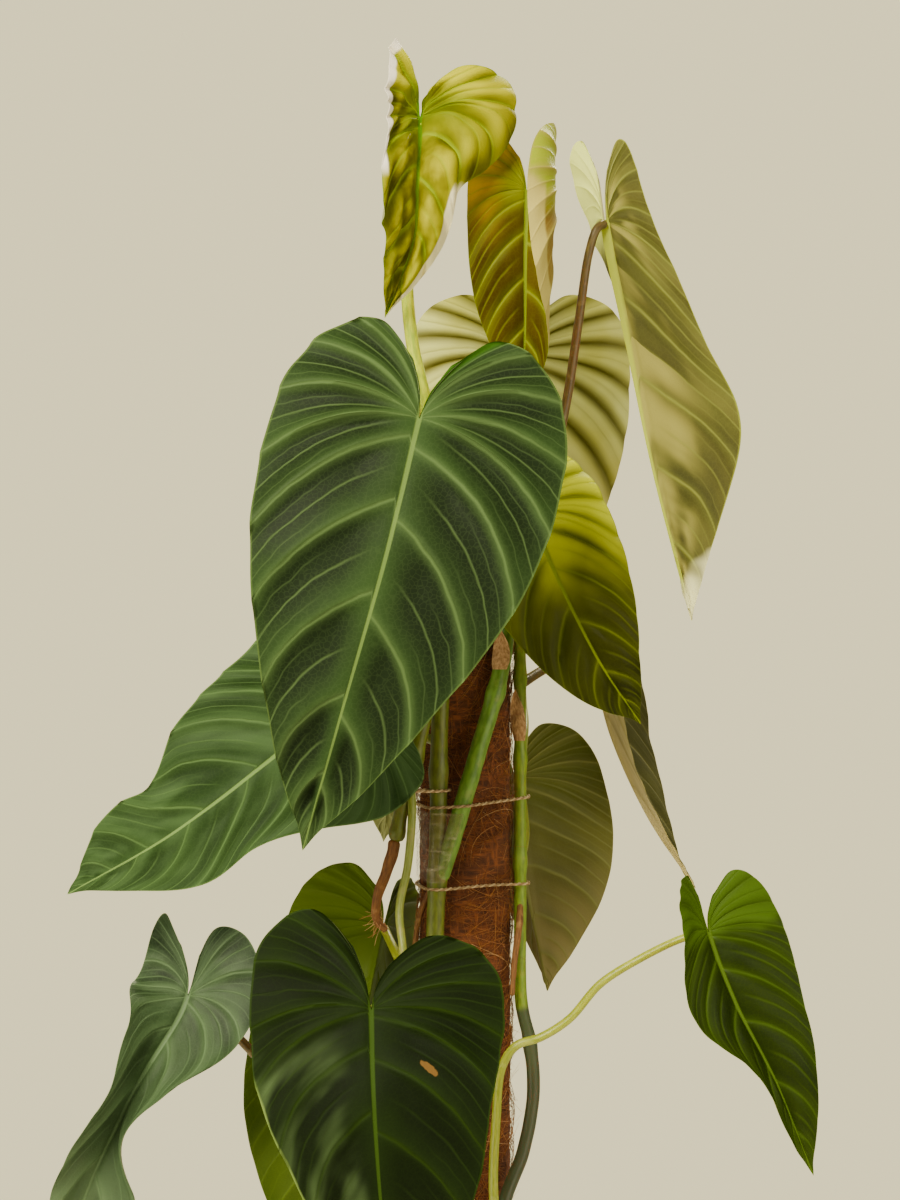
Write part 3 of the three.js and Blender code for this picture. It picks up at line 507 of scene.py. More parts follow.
def blade_surface(leaf, side, s, t):
    """Points of a leaf's upper face with the direction that is up there, and how far along the blade they lie.
    A half leaves the midrib at the angle fold, and after a share x of its width points in direction fold + curl x,
    so across and up are the integrals of that direction's cosine and sine."""
    half = leaf["a"] if side > 0 else leaf.get("b", leaf["a"])
    out, along = flat_half(s, t)
    along = np.where(along < 0, along * half.get("lobe", 1.0), along)

    def middle_line(b):
        u = station(b)
        spine = np.asarray(leaf["spine"], float)
        return spline(spine, np.minimum(u, 4)) + np.maximum(u - 4, 0)[..., None] * (spine[4] - spine[3])

    def listed(rows):
        rows = np.full(2, float(rows)) if np.ndim(rows) == 0 else np.asarray(rows, float)
        rows = rows[:, None] if rows.ndim == 1 else rows
        return spline(rows, np.minimum(station(along), 4) / 4 * (len(rows) - 1))

    tangent = unit(middle_line(along + 0.001) - middle_line(along - 0.001))
    up = listed(leaf["up"])
    up = unit(up - (up * tangent).sum(-1, keepdims=True) * tangent)
    across = np.cross(tangent, up) * side
    width, fold, curl = (listed(half[key])[..., 0] for key in ("width", "fold", "curl"))
    fold, curl = np.radians(fold), np.radians(curl)
    turn = fold + curl * out
    x = width * (np.sin(turn) - np.sin(fold)) / curl
    z = width * (np.cos(fold) - np.cos(turn)) / curl
    z = z + leaf["wave"][0] * out**2 * np.sin(2 * np.pi * leaf["wave"][1] * s) * np.minimum(4 * (1 - s), 1)
    point = middle_line(along) + x[..., None] * across + z[..., None] * up
    return point * MM, unit(np.cos(turn)[..., None] * up - np.sin(turn)[..., None] * across), along, out * width


def blade(name, leaf, materials, veins=10, thickness=0.5, puff=0.0, sink=0.0, buckle=0.9, ripple=0.6, waves=40,
          crumple=0.0, seed=1):
    """A leaf blade as a closed sheet on a grid of veins (rows) by distance from the midrib (columns). Between two
    veins the tissue rises as a parabola (puff) or sinks as a skewed sine, deepest just past a vein (sink). Smooth
    noise adds a slow buckle, a ripple that grows to the margin, and for a young leaf a crumple."""
    s, t = np.meshgrid(np.linspace(0, 1, BLADE_ROWS + 1), np.linspace(0, 1, BLADE_COLUMNS + 1) ** 1.15, indexing="ij")
    halves = []
    for side in (-1, 1):
        point, up, along, out_mm = blade_surface(leaf, side, s, t)
        down, away = np.gradient(point, axis=0), np.gradient(point, axis=1)
        gap = np.linalg.norm(np.cross(down, away), axis=2) / np.maximum(np.linalg.norm(away, axis=2), 1e-9)
        spacing = gap * BLADE_ROWS / veins / MM
        count = s * veins + 0.2 + 0.25 * (side > 0)
        room = np.clip(spacing / 12, 0, 1.3) * np.clip(t * 4, 0, 1) * (1 - 0.6 * t**4)
        after = count % 1
        cushion = 0.75 * (1 - (2 * after - 1) ** 2) + 0.25 * (1 - (2 * (2 * after % 1) - 1) ** 2)
        hollow = np.sin(np.pi * after**0.6) * room
        relief = puff * cushion * room - sink * hollow
        relief = relief - 0.8 * np.exp(-((out_mm / 1.6) ** 2)) * np.clip(1.1 - along, 0.1, 1)
        relief = relief + buckle * wobble(seed, s * 9, t * 3 * side) * np.clip(t * 2, 0, 1)
        relief = relief + ripple * t**3 * wobble(seed + 50 + side, s * waves, scale=1.3)
        folds = wobble(seed + 90, s * 26, t * 7 * side, waves=9)
        relief = relief + crumple * folds * np.clip(t * 3, 0, 1) * (1 - t**3)
        relief = relief * np.clip((1 - s) * 14, 0, 1) * np.clip(s * 30, 0.2, 1)
        thick = 1.7 * np.exp(-((out_mm / 1.5) ** 2)) * np.clip(1.05 - along, 0.08, 1) * np.where(s < 0.42, 0.35, 1)
        thick = (thickness + thick) * np.clip(6 * (1 - t) + 0.5, 0.5, 1)
        # Painted shade for the finish: deepest just past each vein on a sunken leaf, and between the puffs and in the
        # crumple's valleys on a puffed one.
        shade = np.clip(hollow if sink > puff else (1 - cushion) * room - 0.25 * crumple * folds, 0, 1)
        top = point + (relief * MM)[..., None] * up
        carried = np.stack([spacing, out_mm / (1.7 - 1.3 * np.clip(along, 0, 1)), along], -1)
        halves.append([top, top - (thick * MM)[..., None] * up, np.stack([count, t], -1), carried,
                       np.stack([side * t, shade, s], -1)])
    top, bottom, uv, carried, form = (np.concatenate([b[:, ::-1], a[:, 1:]], axis=1) for b, a in zip(*halves))
    columns = 2 * BLADE_COLUMNS + 1
    faces, wall = sheet_triangles(BLADE_ROWS + 1, columns, pointed=True)
    triangles = np.concatenate([faces, wall])
    kinds = np.repeat([0, 1, 0], [len(faces) // 2, len(faces) // 2, len(wall)])
    across, lengthwise = top[70, 24] - top[70, 25], top[72, 25] - top[70, 25]
    if np.cross(across, lengthwise) @ (top[70, 25] - bottom[70, 25]) > 0:
        triangles = triangles[:, ::-1]
    twice = [np.tile(v.reshape(-1, v.shape[-1]), (2, 1)) for v in (uv, carried, form)]
    piece = make_piece(name, np.concatenate([top.reshape(-1, 3), bottom.reshape(-1, 3)]), triangles, uv=twice[0],
                       values={"leaf": twice[1], "form": twice[2]}, materials=materials, material_of=kinds, sharp=70,
                       replaces=[name])
    report(piece, name)
    return piece

# %% [markdown]
# ## The fourteen leaves
# Each leaf has its own line, lean and roll, as the construction gives them, in millimetres. From the top: a lime
# one that is still folded, a bronze one rolled on one side, a pale one that hangs with its back to us, a ribbed
# pale one behind, the big velvety one in front, an olive one, the left one, four at the pole, and the low ones.
# Each half, a and b, lists its width, fold and curl from the stalk to the tip. A single number holds for the whole
# length, and a leaf without b has two halves alike.

# %% Leaf lines
LEAVES = {
    "leaf_front": dict(
        spine=[(-13, -72, 716), (-22, -95, 675), (-37, -118, 610), (-55, -122, 546), (-74, -108, 480)],
        up=[(0.1, -0.8, 0.6), (0.05, -1, 0.3), (0, -1, 0.05), (0, -1, 0), (0, -1, -0.1)], wave=(1.5, 4),
        a=dict(width=70, fold=[22, 12, 6, 6, 8], curl=[-50, -35, -20, -30, -20]),
        b=dict(width=[72, 74, 72, 68, 66], fold=[25, 12, 6, 6, 8], curl=[-50, -35, -20, -30, -20])),
    "leaf_lime": dict(
        spine=[(-25, -45, 862), (-22, -45, 824), (-23, -65, 790), (-25, -60, 762), (-38, -40, 730)],
        up=[(0.1, -1, 0.2), (0, -1, 0.2), (0.1, -1, 0), (0.1, -1, 0), (0.2, -1, 0)], wave=(3, 4),
        a=dict(width=[24, 26, 24, 24, 26, 28, 28, 30, 30], fold=20, curl=[50, 50, 40, 30, 20]),
        b=dict(width=[56, 52, 24, 24, 24], fold=[40, 38, 20, 0, 10], curl=[-100, -95, -50, 1, 1], lobe=0.6)),
    "leaf_bronze": dict(
        spine=[(31, -25, 816), (30, -35, 790), (29, -40, 755), (29, -35, 722), (28, -25, 688)],
        up=[(-0.1, -1, 0.2), (-0.1, -1, 0.1), (-0.1, -1, 0)], wave=(1, 4),
        a=dict(width=[33, 30, 30, 34, 36], fold=[25, 22, 15, 10, 10], curl=[-10, -5, 1, 5, 10]),
        b=dict(width=[40, 47, 45, 39, 36], fold=5, curl=[160, 160, 160, 160, 150])),
    "leaf_pale_hanging": dict(
        spine=[(68, 15, 824), (71, 10, 780), (83, 5, 718), (95, 0, 655), (112, 0, 586)],
        up=[(0, 1, 0.1), (0, 1, 0.1), (0, 1, 0)], wave=(1, 4),
        a=dict(width=[24, 26, 42, 76, 66], fold=[20, 20, 15, 15, 20], curl=[1, 1, 1, -10, -10]),
        b=dict(width=[22, 20, 26, 28, 28], fold=[5, 72, 98, 110, 90], curl=1)),
    "leaf_back": dict(
        spine=[(29, 60, 750), (29, 70, 718), (29, 75, 669), (28, 75, 616), (25, 70, 565)],
        up=[(0, -1, 0.4), (0, -1, 0.3), (0, -1, 0.1)], wave=(1.5, 4),
        a=dict(width=60, fold=[10, 5, 0, 0, 0], curl=[-30, -30, -20, -20, -20])),
    "leaf_olive": dict(
        spine=[(23, -14, 661), (32, -24, 633), (47, -39, 596), (65, -44, 560), (84, -34, 532)],
        up=[(0.1, -1, 0.3), (0.1, -1, 0.1), (0.1, -1, 0)], wave=(1, 4),
        a=dict(width=38, fold=5, curl=[-30, -25, -20, -20, -20])),
    "leaf_left": dict(
        spine=[(-32, -42, 566), (-60, -58, 542), (-96, -76, 512), (-140, -80, 479), (-186, -66, 452)],
        up=[(0, -0.9, 0.45), (0, -0.9, 0.45), (0, -0.9, 0.45)], wave=(3, 4),
        a=dict(width=[56, 56, 56, 56, 56, 56, 48, 80, 110], fold=1, curl=-20),
        b=dict(width=[50, 52, 58, 56, 44, 38, 48, 42, 34], fold=1, curl=-20, lobe=0.3)),
    "leaf_pole_right": dict(
        spine=[(22, 35, 524), (26, 35, 499), (29, 35, 464), (35, 35, 429), (42, 35, 393)],
        up=[(0, 1, 0.2), (0, 1, 0.1), (0.1, 1, 0)], wave=(1, 4),
        a=dict(width=[42, 45, 52, 60, 58], fold=5, curl=5),
        b=dict(width=[36, 38, 38, 30, 12], fold=[30, 40, 50, 50, 50], curl=1)),
    "leaf_narrow": dict(
        spine=[(62, 42, 584), (68, 42, 559), (77, 42, 520), (95, 42, 479), (117, 42, 445)],
        up=[(1, -0.1, 0.2), (1, -0.1, 0.2), (1, -0.1, 0)], wave=(1, 3),
        a=dict(width=[38, 38, 38, 34, 18], fold=[10, 10, 12, 12, 12], curl=5),
        b=dict(width=[36, 38, 40, 36, 12], fold=[25, 25, 27, 25, 20], curl=5)),
    "leaf_low_right": dict(
        spine=[(115, -28, 456), (119, -32, 428), (132, -38, 393), (151, -38, 356), (169, -30, 312)],
        up=[(0.2, -1, 0.3), (0.1, -1, 0.2), (0.1, -1, 0)], wave=(1, 3),
        a=dict(width=[28, 22, 30, 20, 16], fold=[40, 35, 25, 20, 10], curl=[10, 10, 10, 110, 130]),
        b=dict(width=38, fold=[10, 5, 5, 5, 5], curl=-20)),
    "leaf_low_front": dict(
        spine=[(-45, -88, 447), (-44, -108, 401), (-42, -128, 358), (-38, -130, 306), (-31, -118, 248)],
        up=[(0, -0.9, 0.5), (0, -1, 0.2), (0, -1, 0)], wave=(2, 4),
        a=dict(width=[66, 58, 54, 48, 48], fold=[10, 10, 5, 5, 5], curl=[-30, -30, -20, -20, -20]),
        b=dict(width=[72, 64, 58, 66, 60], fold=[10, 10, 5, 5, 5], curl=[-30, -30, -20, -20, -20], lobe=0.7)),
    "leaf_low_back": dict(
        spine=[(-36, 5, 455), (-41, 0, 427), (-52, -20, 373), (-64, -32, 316), (-76, -30, 256)],
        up=[(0, 1, 0.2), (0, 1, 0.1), (0, 1, 0)], wave=(1, 3),
        a=dict(width=[40, 40, 44, 56, 56], fold=[62, 62, 62, 30, 10], curl=1),
        b=dict(width=[46, 48, 58, 72, 72], fold=1, curl=10)),
    "leaf_low_left": dict(
        spine=[(-136, -50, 440), (-133, -62, 401), (-154, -80, 363), (-176, -75, 318), (-200, -55, 258)],
        up=[(0, -1, 0.4), (0, -1, 0.4), (0, -1, 0.2), (0, -1, 0.2), (0, -1, 0)], wave=(0, 3),
        a=dict(width=[20, 27, 28, 36, 40], fold=[5, 10, 70, 55, 20], curl=[1, 1, 1, -10, -20]),
        b=dict(width=[36, 37, 36, 31, 22, 20, 44, 56, 54], fold=[10, 10, 12, 20, 45, 65, 25, 15, 10],
               curl=[1, 1, 1, -10, -20], lobe=0.75)),
    "leaf_small_back": dict(
        spine=[(-31, 60, 564), (-34, 62, 543), (-38, 62, 516), (-40, 60, 490), (-42, 60, 466)],
        up=[(0, 1, 0.3), (0, 1, 0.2), (0, 1, 0)], wave=(1, 3),
        a=dict(width=24, fold=1, curl=10)),
}

# %% [markdown]
# ## Leaf colours
# Old leaves are dark green with pale green veins, young ones pass from lime through bronze and olive. The faces
# that look away from the light are duller. Each recipe gives the tissue's two greens, the vein's colour and how
# much light comes through. Some faces also carry painted sheen (gleam), paler streaks that stand for light off
# the surface, and painted shade where the relief sinks (hollow).

# %% Leaf recipes
def look(tissue, deep, vein, **more):
    """One face's colours, with what else it has."""
    return dict(tissue=tissue, deep=deep, vein=vein, **more)


FINISH = {
    "leaf_front": leaf_pair(
        "velvet_green",
        look((50, 74, 32), (40, 60, 24), (88, 112, 62), rib=(108, 134, 64), rough=0.6, hollow=0.85, through=0.08,
             minor=0.5, fine=0.3, sinus=(52, 92, 10), shine=0.1, vein_width=1.4, main=0.7),
        look((110, 125, 75), (92, 108, 60), (170, 180, 120), rough=0.6, through=0.15)),
    # On the lime leaf, outer is a painted highlight: the outer part near the stalk lighter, for the lit ridge of its
    # curled lobe.
    "leaf_lime": leaf_pair(
        "lime",
        look((176, 172, 1), (88, 82, 1), (148, 170, 6), rib=(92, 146, 6), shine=0.03, base=(96, 112, 3),
             base_end=0.3, outer=(190, 186, 1), light=(220, 220, 2), hollow=1.0, minor=0.3, fine=0.1,
             drift_scale=55, glow=0.15,
             margins=[((255, 244, 204), -1, 0.72, 0.36, 2), ((255, 246, 232), 1, 0.84, -1, 0.34)]),
        look((246, 240, 206), (230, 224, 180), (214, 220, 140), base=(252, 246, 226), tip=(160, 172, 20),
             through=0.4, light=(255, 246, 210), hollow=0.1)),
    "leaf_bronze": leaf_pair(
        "bronze",
        look((88, 74, 2), (62, 46, 1), (140, 150, 12), rib=(130, 150, 16), outer=(196, 156, 1),
             base=(124, 130, 3), base_end=0.16, shine=0.08, through=0.15, light=(180, 150, 2), glow=0.35,
             minor=0.35, vein_width=1.4, hollow=0.5),
        look((160, 134, 50), (132, 100, 32), (190, 176, 84), base=(166, 182, 12), base_end=0.24, glow=0.4,
             margins=[((204, 188, 100), -1, 0.72, 0.0, 2)], through=0.16, light=(190, 170, 60))),
    "leaf_pale_hanging": leaf_pair(
        "pale_olive",
        look((150, 150, 84), (120, 120, 60), (200, 195, 140), through=0.25),
        look((98, 99, 38), (78, 76, 30), (140, 144, 62), rib=(192, 204, 60), panel=(176, 168, 82),
             point=(255, 252, 190), lobe=(240, 250, 140), through=0.15, light=(200, 198, 40), hollow=0.8)),
    "leaf_back": leaf_pair(
        "cream_ribbed",
        look((240, 244, 150), (220, 220, 104), (92, 88, 18), rib=(110, 106, 24), tip=(170, 140, 44), through=0.25,
             vein_width=1.8, minor=0.05, fine=0.05, glow=0.7, glow_width=6.0, hollow=0.9, light=(240, 234, 90),
             rim=0.0, tip_start=0.15),
        look((170, 165, 110), (140, 135, 80), (110, 108, 60), rough=0.55, through=0.3)),
    "leaf_olive": leaf_pair(
        "olive",
        look((92, 98, 3), (66, 68, 2), (118, 130, 9), rib=(128, 144, 14), base=(204, 210, 4), base_end=0.48,
             tip=(30, 33, 1), tip_start=0.2, shine=0.1, through=0.06, light=(190, 190, 4), glow=0.2, minor=0.2,
             fine=0.1, hollow=0.85, main=0.4),
        look((120, 118, 50), (96, 94, 34), (150, 150, 80), rough=0.55)),
    "leaf_left": leaf_pair(
        "mid_green",
        look((54, 80, 36), (42, 66, 27), (94, 124, 68), rib=(126, 158, 84), rough=0.6, shine=0.1, through=0.15,
             minor=0.35, fine=0.2, hollow=0.4, gleam=(84, 112, 66), main=0.55, glow=0.15, vein_width=1.0),
        look((110, 125, 70), (90, 105, 55), (160, 170, 110), rough=0.55)),
    "leaf_pole_right": leaf_pair(
        "dull_olive",
        look((80, 84, 30), (60, 64, 20), (130, 134, 70)),
        look((114, 114, 46), (92, 92, 32), (140, 142, 76), base=(88, 96, 16), base_end=0.3, tip=(152, 140, 88),
             tip_start=0.25, main=0.5, light=(150, 146, 30), hollow=0.5)),
    "leaf_narrow": leaf_pair(
        "narrow",
        look((88, 88, 34), (66, 66, 22), (120, 118, 66)),
        look((255, 240, 176), (240, 222, 150), (220, 204, 130), other=(112, 116, 14), main=0.4, rough=0.55,
             through=0.15)),
    "leaf_low_right": leaf_pair(
        "fresh_green",
        look((42, 56, 3), (29, 41, 2), (68, 92, 12), rib=(84, 110, 20), base=(70, 98, 5), main=0.5, base_end=0.1,
             through=0.05, light=(110, 160, 2), hollow=0.5, shine=0.12),
        look((216, 210, 110), (186, 184, 86), (206, 204, 120))),
    "leaf_low_front": leaf_pair(
        "dark_green",
        look((25, 40, 6), (18, 30, 4), (42, 62, 14), rib=(54, 78, 20), rough=0.65, hollow=0.6, through=0.06,
             minor=0.2, glow=0.15, main=0.38, gleam=(98, 122, 74), gleam_from=0.02, scar=((-17, -124, 376), 0.6),
             shine=0.08, margins=[((116, 138, 66), 1, 0.965, 0.2, 2)]),
        look((96, 108, 56), (80, 92, 44), (140, 150, 90), rough=0.55, through=0.15)),
    "leaf_low_back": leaf_pair(
        "pale_green",
        look((70, 92, 28), (54, 74, 18), (120, 140, 70)),
        look((78, 98, 8), (62, 82, 4), (92, 114, 16), base=(100, 122, 6), base_end=0.35, through=0.07, main=0.4,
             light=(110, 140, 4))),
    "leaf_low_left": leaf_pair(
        "grey_green",
        look((74, 98, 60), (56, 78, 42), (104, 130, 88), base=(36, 54, 28), base_end=0.2, tip=(114, 140, 98),
             rough=0.55, through=0.08, hollow=0.5, gleam=(80, 104, 68), fine=0.25, minor=0.25, main=0.55,
             vein_width=1.2),
        look((120, 130, 90), (100, 110, 72), (160, 168, 130), rough=0.55, through=0.15)),
    "leaf_small_back": leaf_pair(
        "small",
        look((90, 100, 50), (70, 80, 34), (140, 150, 90)),
        look((164, 166, 96), (136, 138, 74), (176, 178, 114), rough=0.55, through=0.25)),
}

# %% Grow the leaves
MAKE = {
    "leaf_front": dict(veins=11, sink=3.6), "leaf_lime": dict(veins=9, puff=5.0, ripple=0.3, crumple=5.5),
    "leaf_bronze": dict(veins=11, puff=1.2, ripple=0.3, crumple=0.5),
    "leaf_pale_hanging": dict(veins=11, puff=1.4, ripple=1.6, waves=24), "leaf_back": dict(veins=12, puff=3.0),
    "leaf_olive": dict(veins=11, puff=2.4), "leaf_left": dict(veins=13, sink=2.4, ripple=1.4, waves=14),
    "leaf_pole_right": dict(veins=11, puff=1.2), "leaf_narrow": dict(veins=9, puff=0.6),
    "leaf_low_right": dict(veins=10, puff=1.4, ripple=0.5), "leaf_low_back": dict(veins=10, puff=1.0, ripple=1.2),
    "leaf_low_front": dict(veins=10, sink=2.2, ripple=1.4, buckle=3.0),
    "leaf_low_left": dict(veins=10, sink=1.6, ripple=1.2), "leaf_small_back": dict(veins=9, puff=0.6),
}
for order, (name, leaf) in enumerate(LEAVES.items()):
    blade(name, leaf, FINISH[name], seed=order + 3, **MAKE[name])

# %% [markdown]
# ## Stems, stalks and roots
# All of these are tapering tubes along a curve. A vine stem has swollen nodes where leaves and roots grow. A leaf
# stalk is smooth, a little flat above, and thickens at both ends. A root is corky and uneven. The section is a ring
# of points whose radius is a function of the distance run and the angle.

# %% Plant skin
def stem_material(name, colour, dark, spot, rough=0.45, foot=None, foot_at=0.3):
    """Green or brown skin with fine lines along it. foot is the colour at the start of the run."""
    g = new_material(name)
    surface, place = g.surface, g.place
    lines = g.noise(g.stretched(surface, (9.0, 3.0, 1.0)), 1.0, 4)
    tone = g.mix(g.ramp(lines, 0.3, 0.7), dark, colour)
    tone = g.mix(g.ramp(g.noise(place, 140, 3), 0.56, 0.68, 0.0, 0.5), tone, spot)
    if foot:
        tone = g.mix(g.ramp(g.parts(surface)[0], foot_at - 0.03, foot_at + 0.05), foot, tone)
    skin = g.add(g.mul(lines, 0.6), g.mul(g.noise(place, 600, 3), 0.4))
    return g.shade(tone, g.add(g.mul(lines, 0.2), rough - 0.1), g.bump(skin, 0.5, 0.5 * MM), Subsurface_Weight=0.05)

# %% Tubes along a path
def tube(name, points, radii, materials, swell=None, sides=20, step=1.6, flat=0.0, uneven=0.0, seed=0, ends=0.0,
         replaces=()):
    """A round tube along a smooth path. radii is (start, end). swell lists (share of the run, extra radius, length
    in mm) bumps. flat presses one side in, uneven adds noise, ends thickens both ends. Both caps are domed."""
    line, length = smooth_path(np.asarray(points, float), max(12, int(cad_length(points) / step)))
    run = np.linspace(0, 1, len(line))
    tangent, side, other = moving_frames(line)
    radius = radii[0] + (radii[1] - radii[0]) * run
    for at, extra, long in swell or ():
        radius = radius + extra * np.exp(-((run - at) * length / long) ** 2)
    radius = radius * (1 + ends * (np.exp(-run * length / 5) + np.exp(-(1 - run) * length / 4)))
    cap = np.minimum(np.minimum(run, 1 - run) * length / np.maximum(radius, 0.1), 1)
    radius = radius * np.sqrt(np.clip(1 - (1 - cap) ** 2, 0.0, 1))
    angle = np.linspace(0, 2 * np.pi, sides, endpoint=False)
    ring = radius[:, None] * (1 - flat * np.clip(np.sin(angle), 0, 1) ** 4)[None, :]
    ring = ring * (1 + uneven * wobble(seed, run[:, None] * length * 0.5, np.cos(angle)[None], np.sin(angle)[None]))
    skin = (line[:, None, :] + ring[..., None] * (np.cos(angle)[None, :, None] * side[:, None, :]
                                                  + np.sin(angle)[None, :, None] * other[:, None, :])) * MM
    triangles = grid_triangles(len(line), sides, close_columns=True)
    uv = np.stack([np.repeat(run * length / 60, sides), np.tile(angle / (2 * np.pi) * 4, len(line))], -1)
    return make_piece(name, skin.reshape(-1, 3), triangles[:, ::-1], uv=uv, materials=materials, sharp=60,
                      replaces=replaces)


def cad_length(points):
    """Length of the straight runs between points."""
    return float(np.linalg.norm(np.diff(np.asarray(points, float), axis=0), axis=1).sum())

# %% [markdown]
# ## Stem lines
# Three vine stems and one side shoot climb the pole. Their lines are the construction's own.

# %% Stems
right_stem = stem_material("stem_right_skin", (132, 160, 34), (104, 130, 22), (146, 150, 50), foot=(62, 74, 42),
                           foot_at=4.7)
dull_stem = stem_material("stem_dull", (106, 116, 20), (80, 88, 12), (116, 106, 36))
fresh_stem = stem_material("stem_fresh", (112, 150, 44), (80, 116, 26), (136, 150, 64))
STEMS = {
    "stem_left": (((-32, -20, 118), (-33, -24, 200), (-24, -29, 300), (-16, -30, 400), (-13.5, -30.5, 470),
                   (-12.5, -30.5, 530), (-9, -30.5, 590), (-8, -31, 628)), (4.9, 4), dull_stem,
                  [(0.2, 0.9, 7), (0.36, 0.9, 7), (0.5, 0.9, 6), (0.66, 0.9, 6), (0.76, 0.8, 6), (0.94, 0.8, 5)]),
    "stem_right": (((44, -4, 118), (40, -6, 200), (20, -26, 262), (19, -26, 292), (29, -14, 318), (34, -8, 346),
                    (32, -7, 371), (28, -7, 390), (27.5, -6, 441), (27.5, -6, 540), (27, -6, 612)), (3.6, 2.8),
                   right_stem,
                   [(0.22, 0.8, 6), (0.52, 0.6, 5), (0.7, 0.8, 5), (0.8, 0.7, 5), (0.88, 0.7, 5), (0.96, 0.7, 5)]),
    "stem_middle": (((-13, -31, 452), (-6, -33, 474), (1, -34, 498), (8, -32, 522), (16, -27, 549), (20, -22, 572),
                     (20, -22, 604), (16, -14, 630), (12, -9, 655)), (4.4, 3.9), fresh_stem,
                    [(0.46, 0.8, 5), (0.72, 0.8, 5), (0.97, 0.5, 5)]),
    "side_shoot": (((-13, -33, 552), (-19, -38, 536), (-25, -40, 510), (-31, -41, 488), (-34, -41, 472)), (3.8, 3.4),
                   dull_stem, [(0.5, 0.7, 5), (0.95, 0.8, 5)]),
}
for order, (name, (points, radii, material, swell)) in enumerate(STEMS.items()):
    report(tube(name, points, radii, [material], swell=swell, uneven=0.03, seed=order, replaces=[name]), name)

# %% Stalks
lime_stalk = stem_material("stalk_lime", (196, 210, 6), (146, 172, 4), (202, 208, 22), rough=0.42)
green_stalk = stem_material("stalk_green", (146, 156, 60), (116, 128, 40), (160, 150, 80), rough=0.4)
bright_stalk = stem_material("stalk_bright", (174, 182, 46), (144, 156, 26), (190, 196, 88), rough=0.38)
brown_stalk = stem_material("stalk_brown", (116, 98, 48), (84, 70, 30), (140, 124, 64), rough=0.42)
STALK_SHORT = 1.4  # mm from a stalk's end to the midrib's line, so that it ends inside the blade
STALKS = {
    "stalk_front": (((-9, -31, 596), (-12, -46, 618), (-17, -68, 650), (-22, -89, 671)), (3, 2.4), green_stalk),
    "stalk_lime": (((-8, -31, 618), (-12, -31, 648), (-20, -31, 688), (-26, -30, 715), (-29, -29, 750),
                    (-27, -31, 790), (-22.5, -41, 819)), (3.8, 3), lime_stalk),
    "stalk_bronze": (((12.5, -9, 646), (14, -9, 690), (22, -12, 740), (28, -20, 775), (30, -31, 787)), (3, 2.4),
                     green_stalk),
    "stalk_pale_hanging": (((27, -6, 600), (37, -2, 635), (50, 1, 686), (57, 2, 731), (62, 2, 764), (66, 3, 776),
                            (70.5, 6.5, 779)), (2.8, 2.2), brown_stalk),
    "stalk_back": (((27.5, -6, 512), (29.5, 12, 526), (29.5, 52, 540), (29, 90, 590), (29, 95, 680), (29, 76, 716)),
                   (2.8, 2.3), green_stalk),
    "stalk_olive": (((27.2, -6, 580), (34, -10, 598), (37, -14, 616), (33.5, -20, 631)), (2.7, 2.2), green_stalk),
    "stalk_left": (((-24, -40, 514), (-36, -44, 520), (-48, -48, 530), (-59, -54, 539)), (3.1, 2.6), green_stalk),
    "stalk_pole_right": (((27.5, -6, 462), (30, 6, 472), (29, 20, 488), (27, 31, 498)), (2.6, 2.2), green_stalk),
    "stalk_narrow": (((27.4, -6, 548), (42, 12, 556), (54, 30, 561), (65, 42, 560)), (2.6, 2.2), brown_stalk),
    "stalk_low_right": (((38, -8, 226), (22, -36, 250), (14, -36, 296), (15, -32, 335), (18, -32, 362),
                         (25, -31, 372), (37, -30, 376), (51, -30, 385), (66, -30, 402), (85, -29, 414),
                         (106, -28, 424), (117, -28, 427)), (2.6, 1.9), bright_stalk),
    "stalk_low_front": (((-27, -40, 502), (-26, -45, 488), (-28, -48, 462), (-32, -52, 441), (-30, -64, 418),
                         (-34, -84, 402), (-43, -103, 400)), (2.2, 2), green_stalk),
    "stalk_low_back": (((-17, -30, 386), (-27, -28, 402), (-34, -18, 415), (-40.5, -4, 426)), (2.7, 2.2),
                       bright_stalk),
    "stalk_low_left": (((-24, -29, 306), (-48, -44, 318), (-78, -50, 344), (-96, -49, 364), (-113, -50, 382),
                        (-131.5, -57, 400)), (2.8, 2.2), brown_stalk),
    "stalk_small_back": (((-12.5, -30, 520), (-34, -16, 528), (-40, 20, 538), (-35, 57, 542)), (2.4, 1.9),
                         green_stalk),
}
for order, (name, (points, radii, material)) in enumerate(STALKS.items()):
    end, root = np.array(points[-1], float), np.array(LEAVES[name.replace("stalk", "leaf")]["spine"][1], float)
    points = (*points[:-1], end + (root - end) * (1 - STALK_SHORT / np.linalg.norm(root - end)))
    report(tube(name, points, radii, [material], ends=0.22, flat=0.12, uneven=0.01, sides=16, seed=20 + order,
                replaces=[name]), name)

# %% Roots
root_skin = stem_material("root_brown", (146, 98, 44), (94, 56, 22), (182, 138, 76), rough=0.75)
ROOTS = {
    "root_shoot": (((-34, -41, 474), (-37, -41, 462), (-43, -41, 444), (-43, -40, 434), (-38, -39, 429)), (3.3, 1.8)),
    "root_left": (((-15, -30, 452), (-22, -26, 436), (-25, -19, 415), (-25, -13, 392)), (1.7, 1.1)),
    "root_right": (((27.5, -6, 441), (27, -12, 430), (24.5, -15, 412), (23, -17, 394)), (1.9, 1.3)),
    "root_soil": (((-32, -25, 222), (-42, -33, 206), (-46, -38, 180), (-46, -39, 140)), (2.2, 1.6)),
}
for order, (name, (points, radii)) in enumerate(ROOTS.items()):
    report(tube(name, points, radii, [root_skin], uneven=0.12, sides=14, step=1.0, seed=60 + order,
                replaces=[name]), name)

# %% [markdown]
# ## Fibres
# Coir is a mat of coconut fibre. It is a core surface with a fibrous texture, under thousands of separate fibres
# that lie round it in every direction. Each fibre is a bent three-sided tube of a few faces, and all of them are
# one mesh: the paths are worked out together as one array of fibre by step by coordinate.

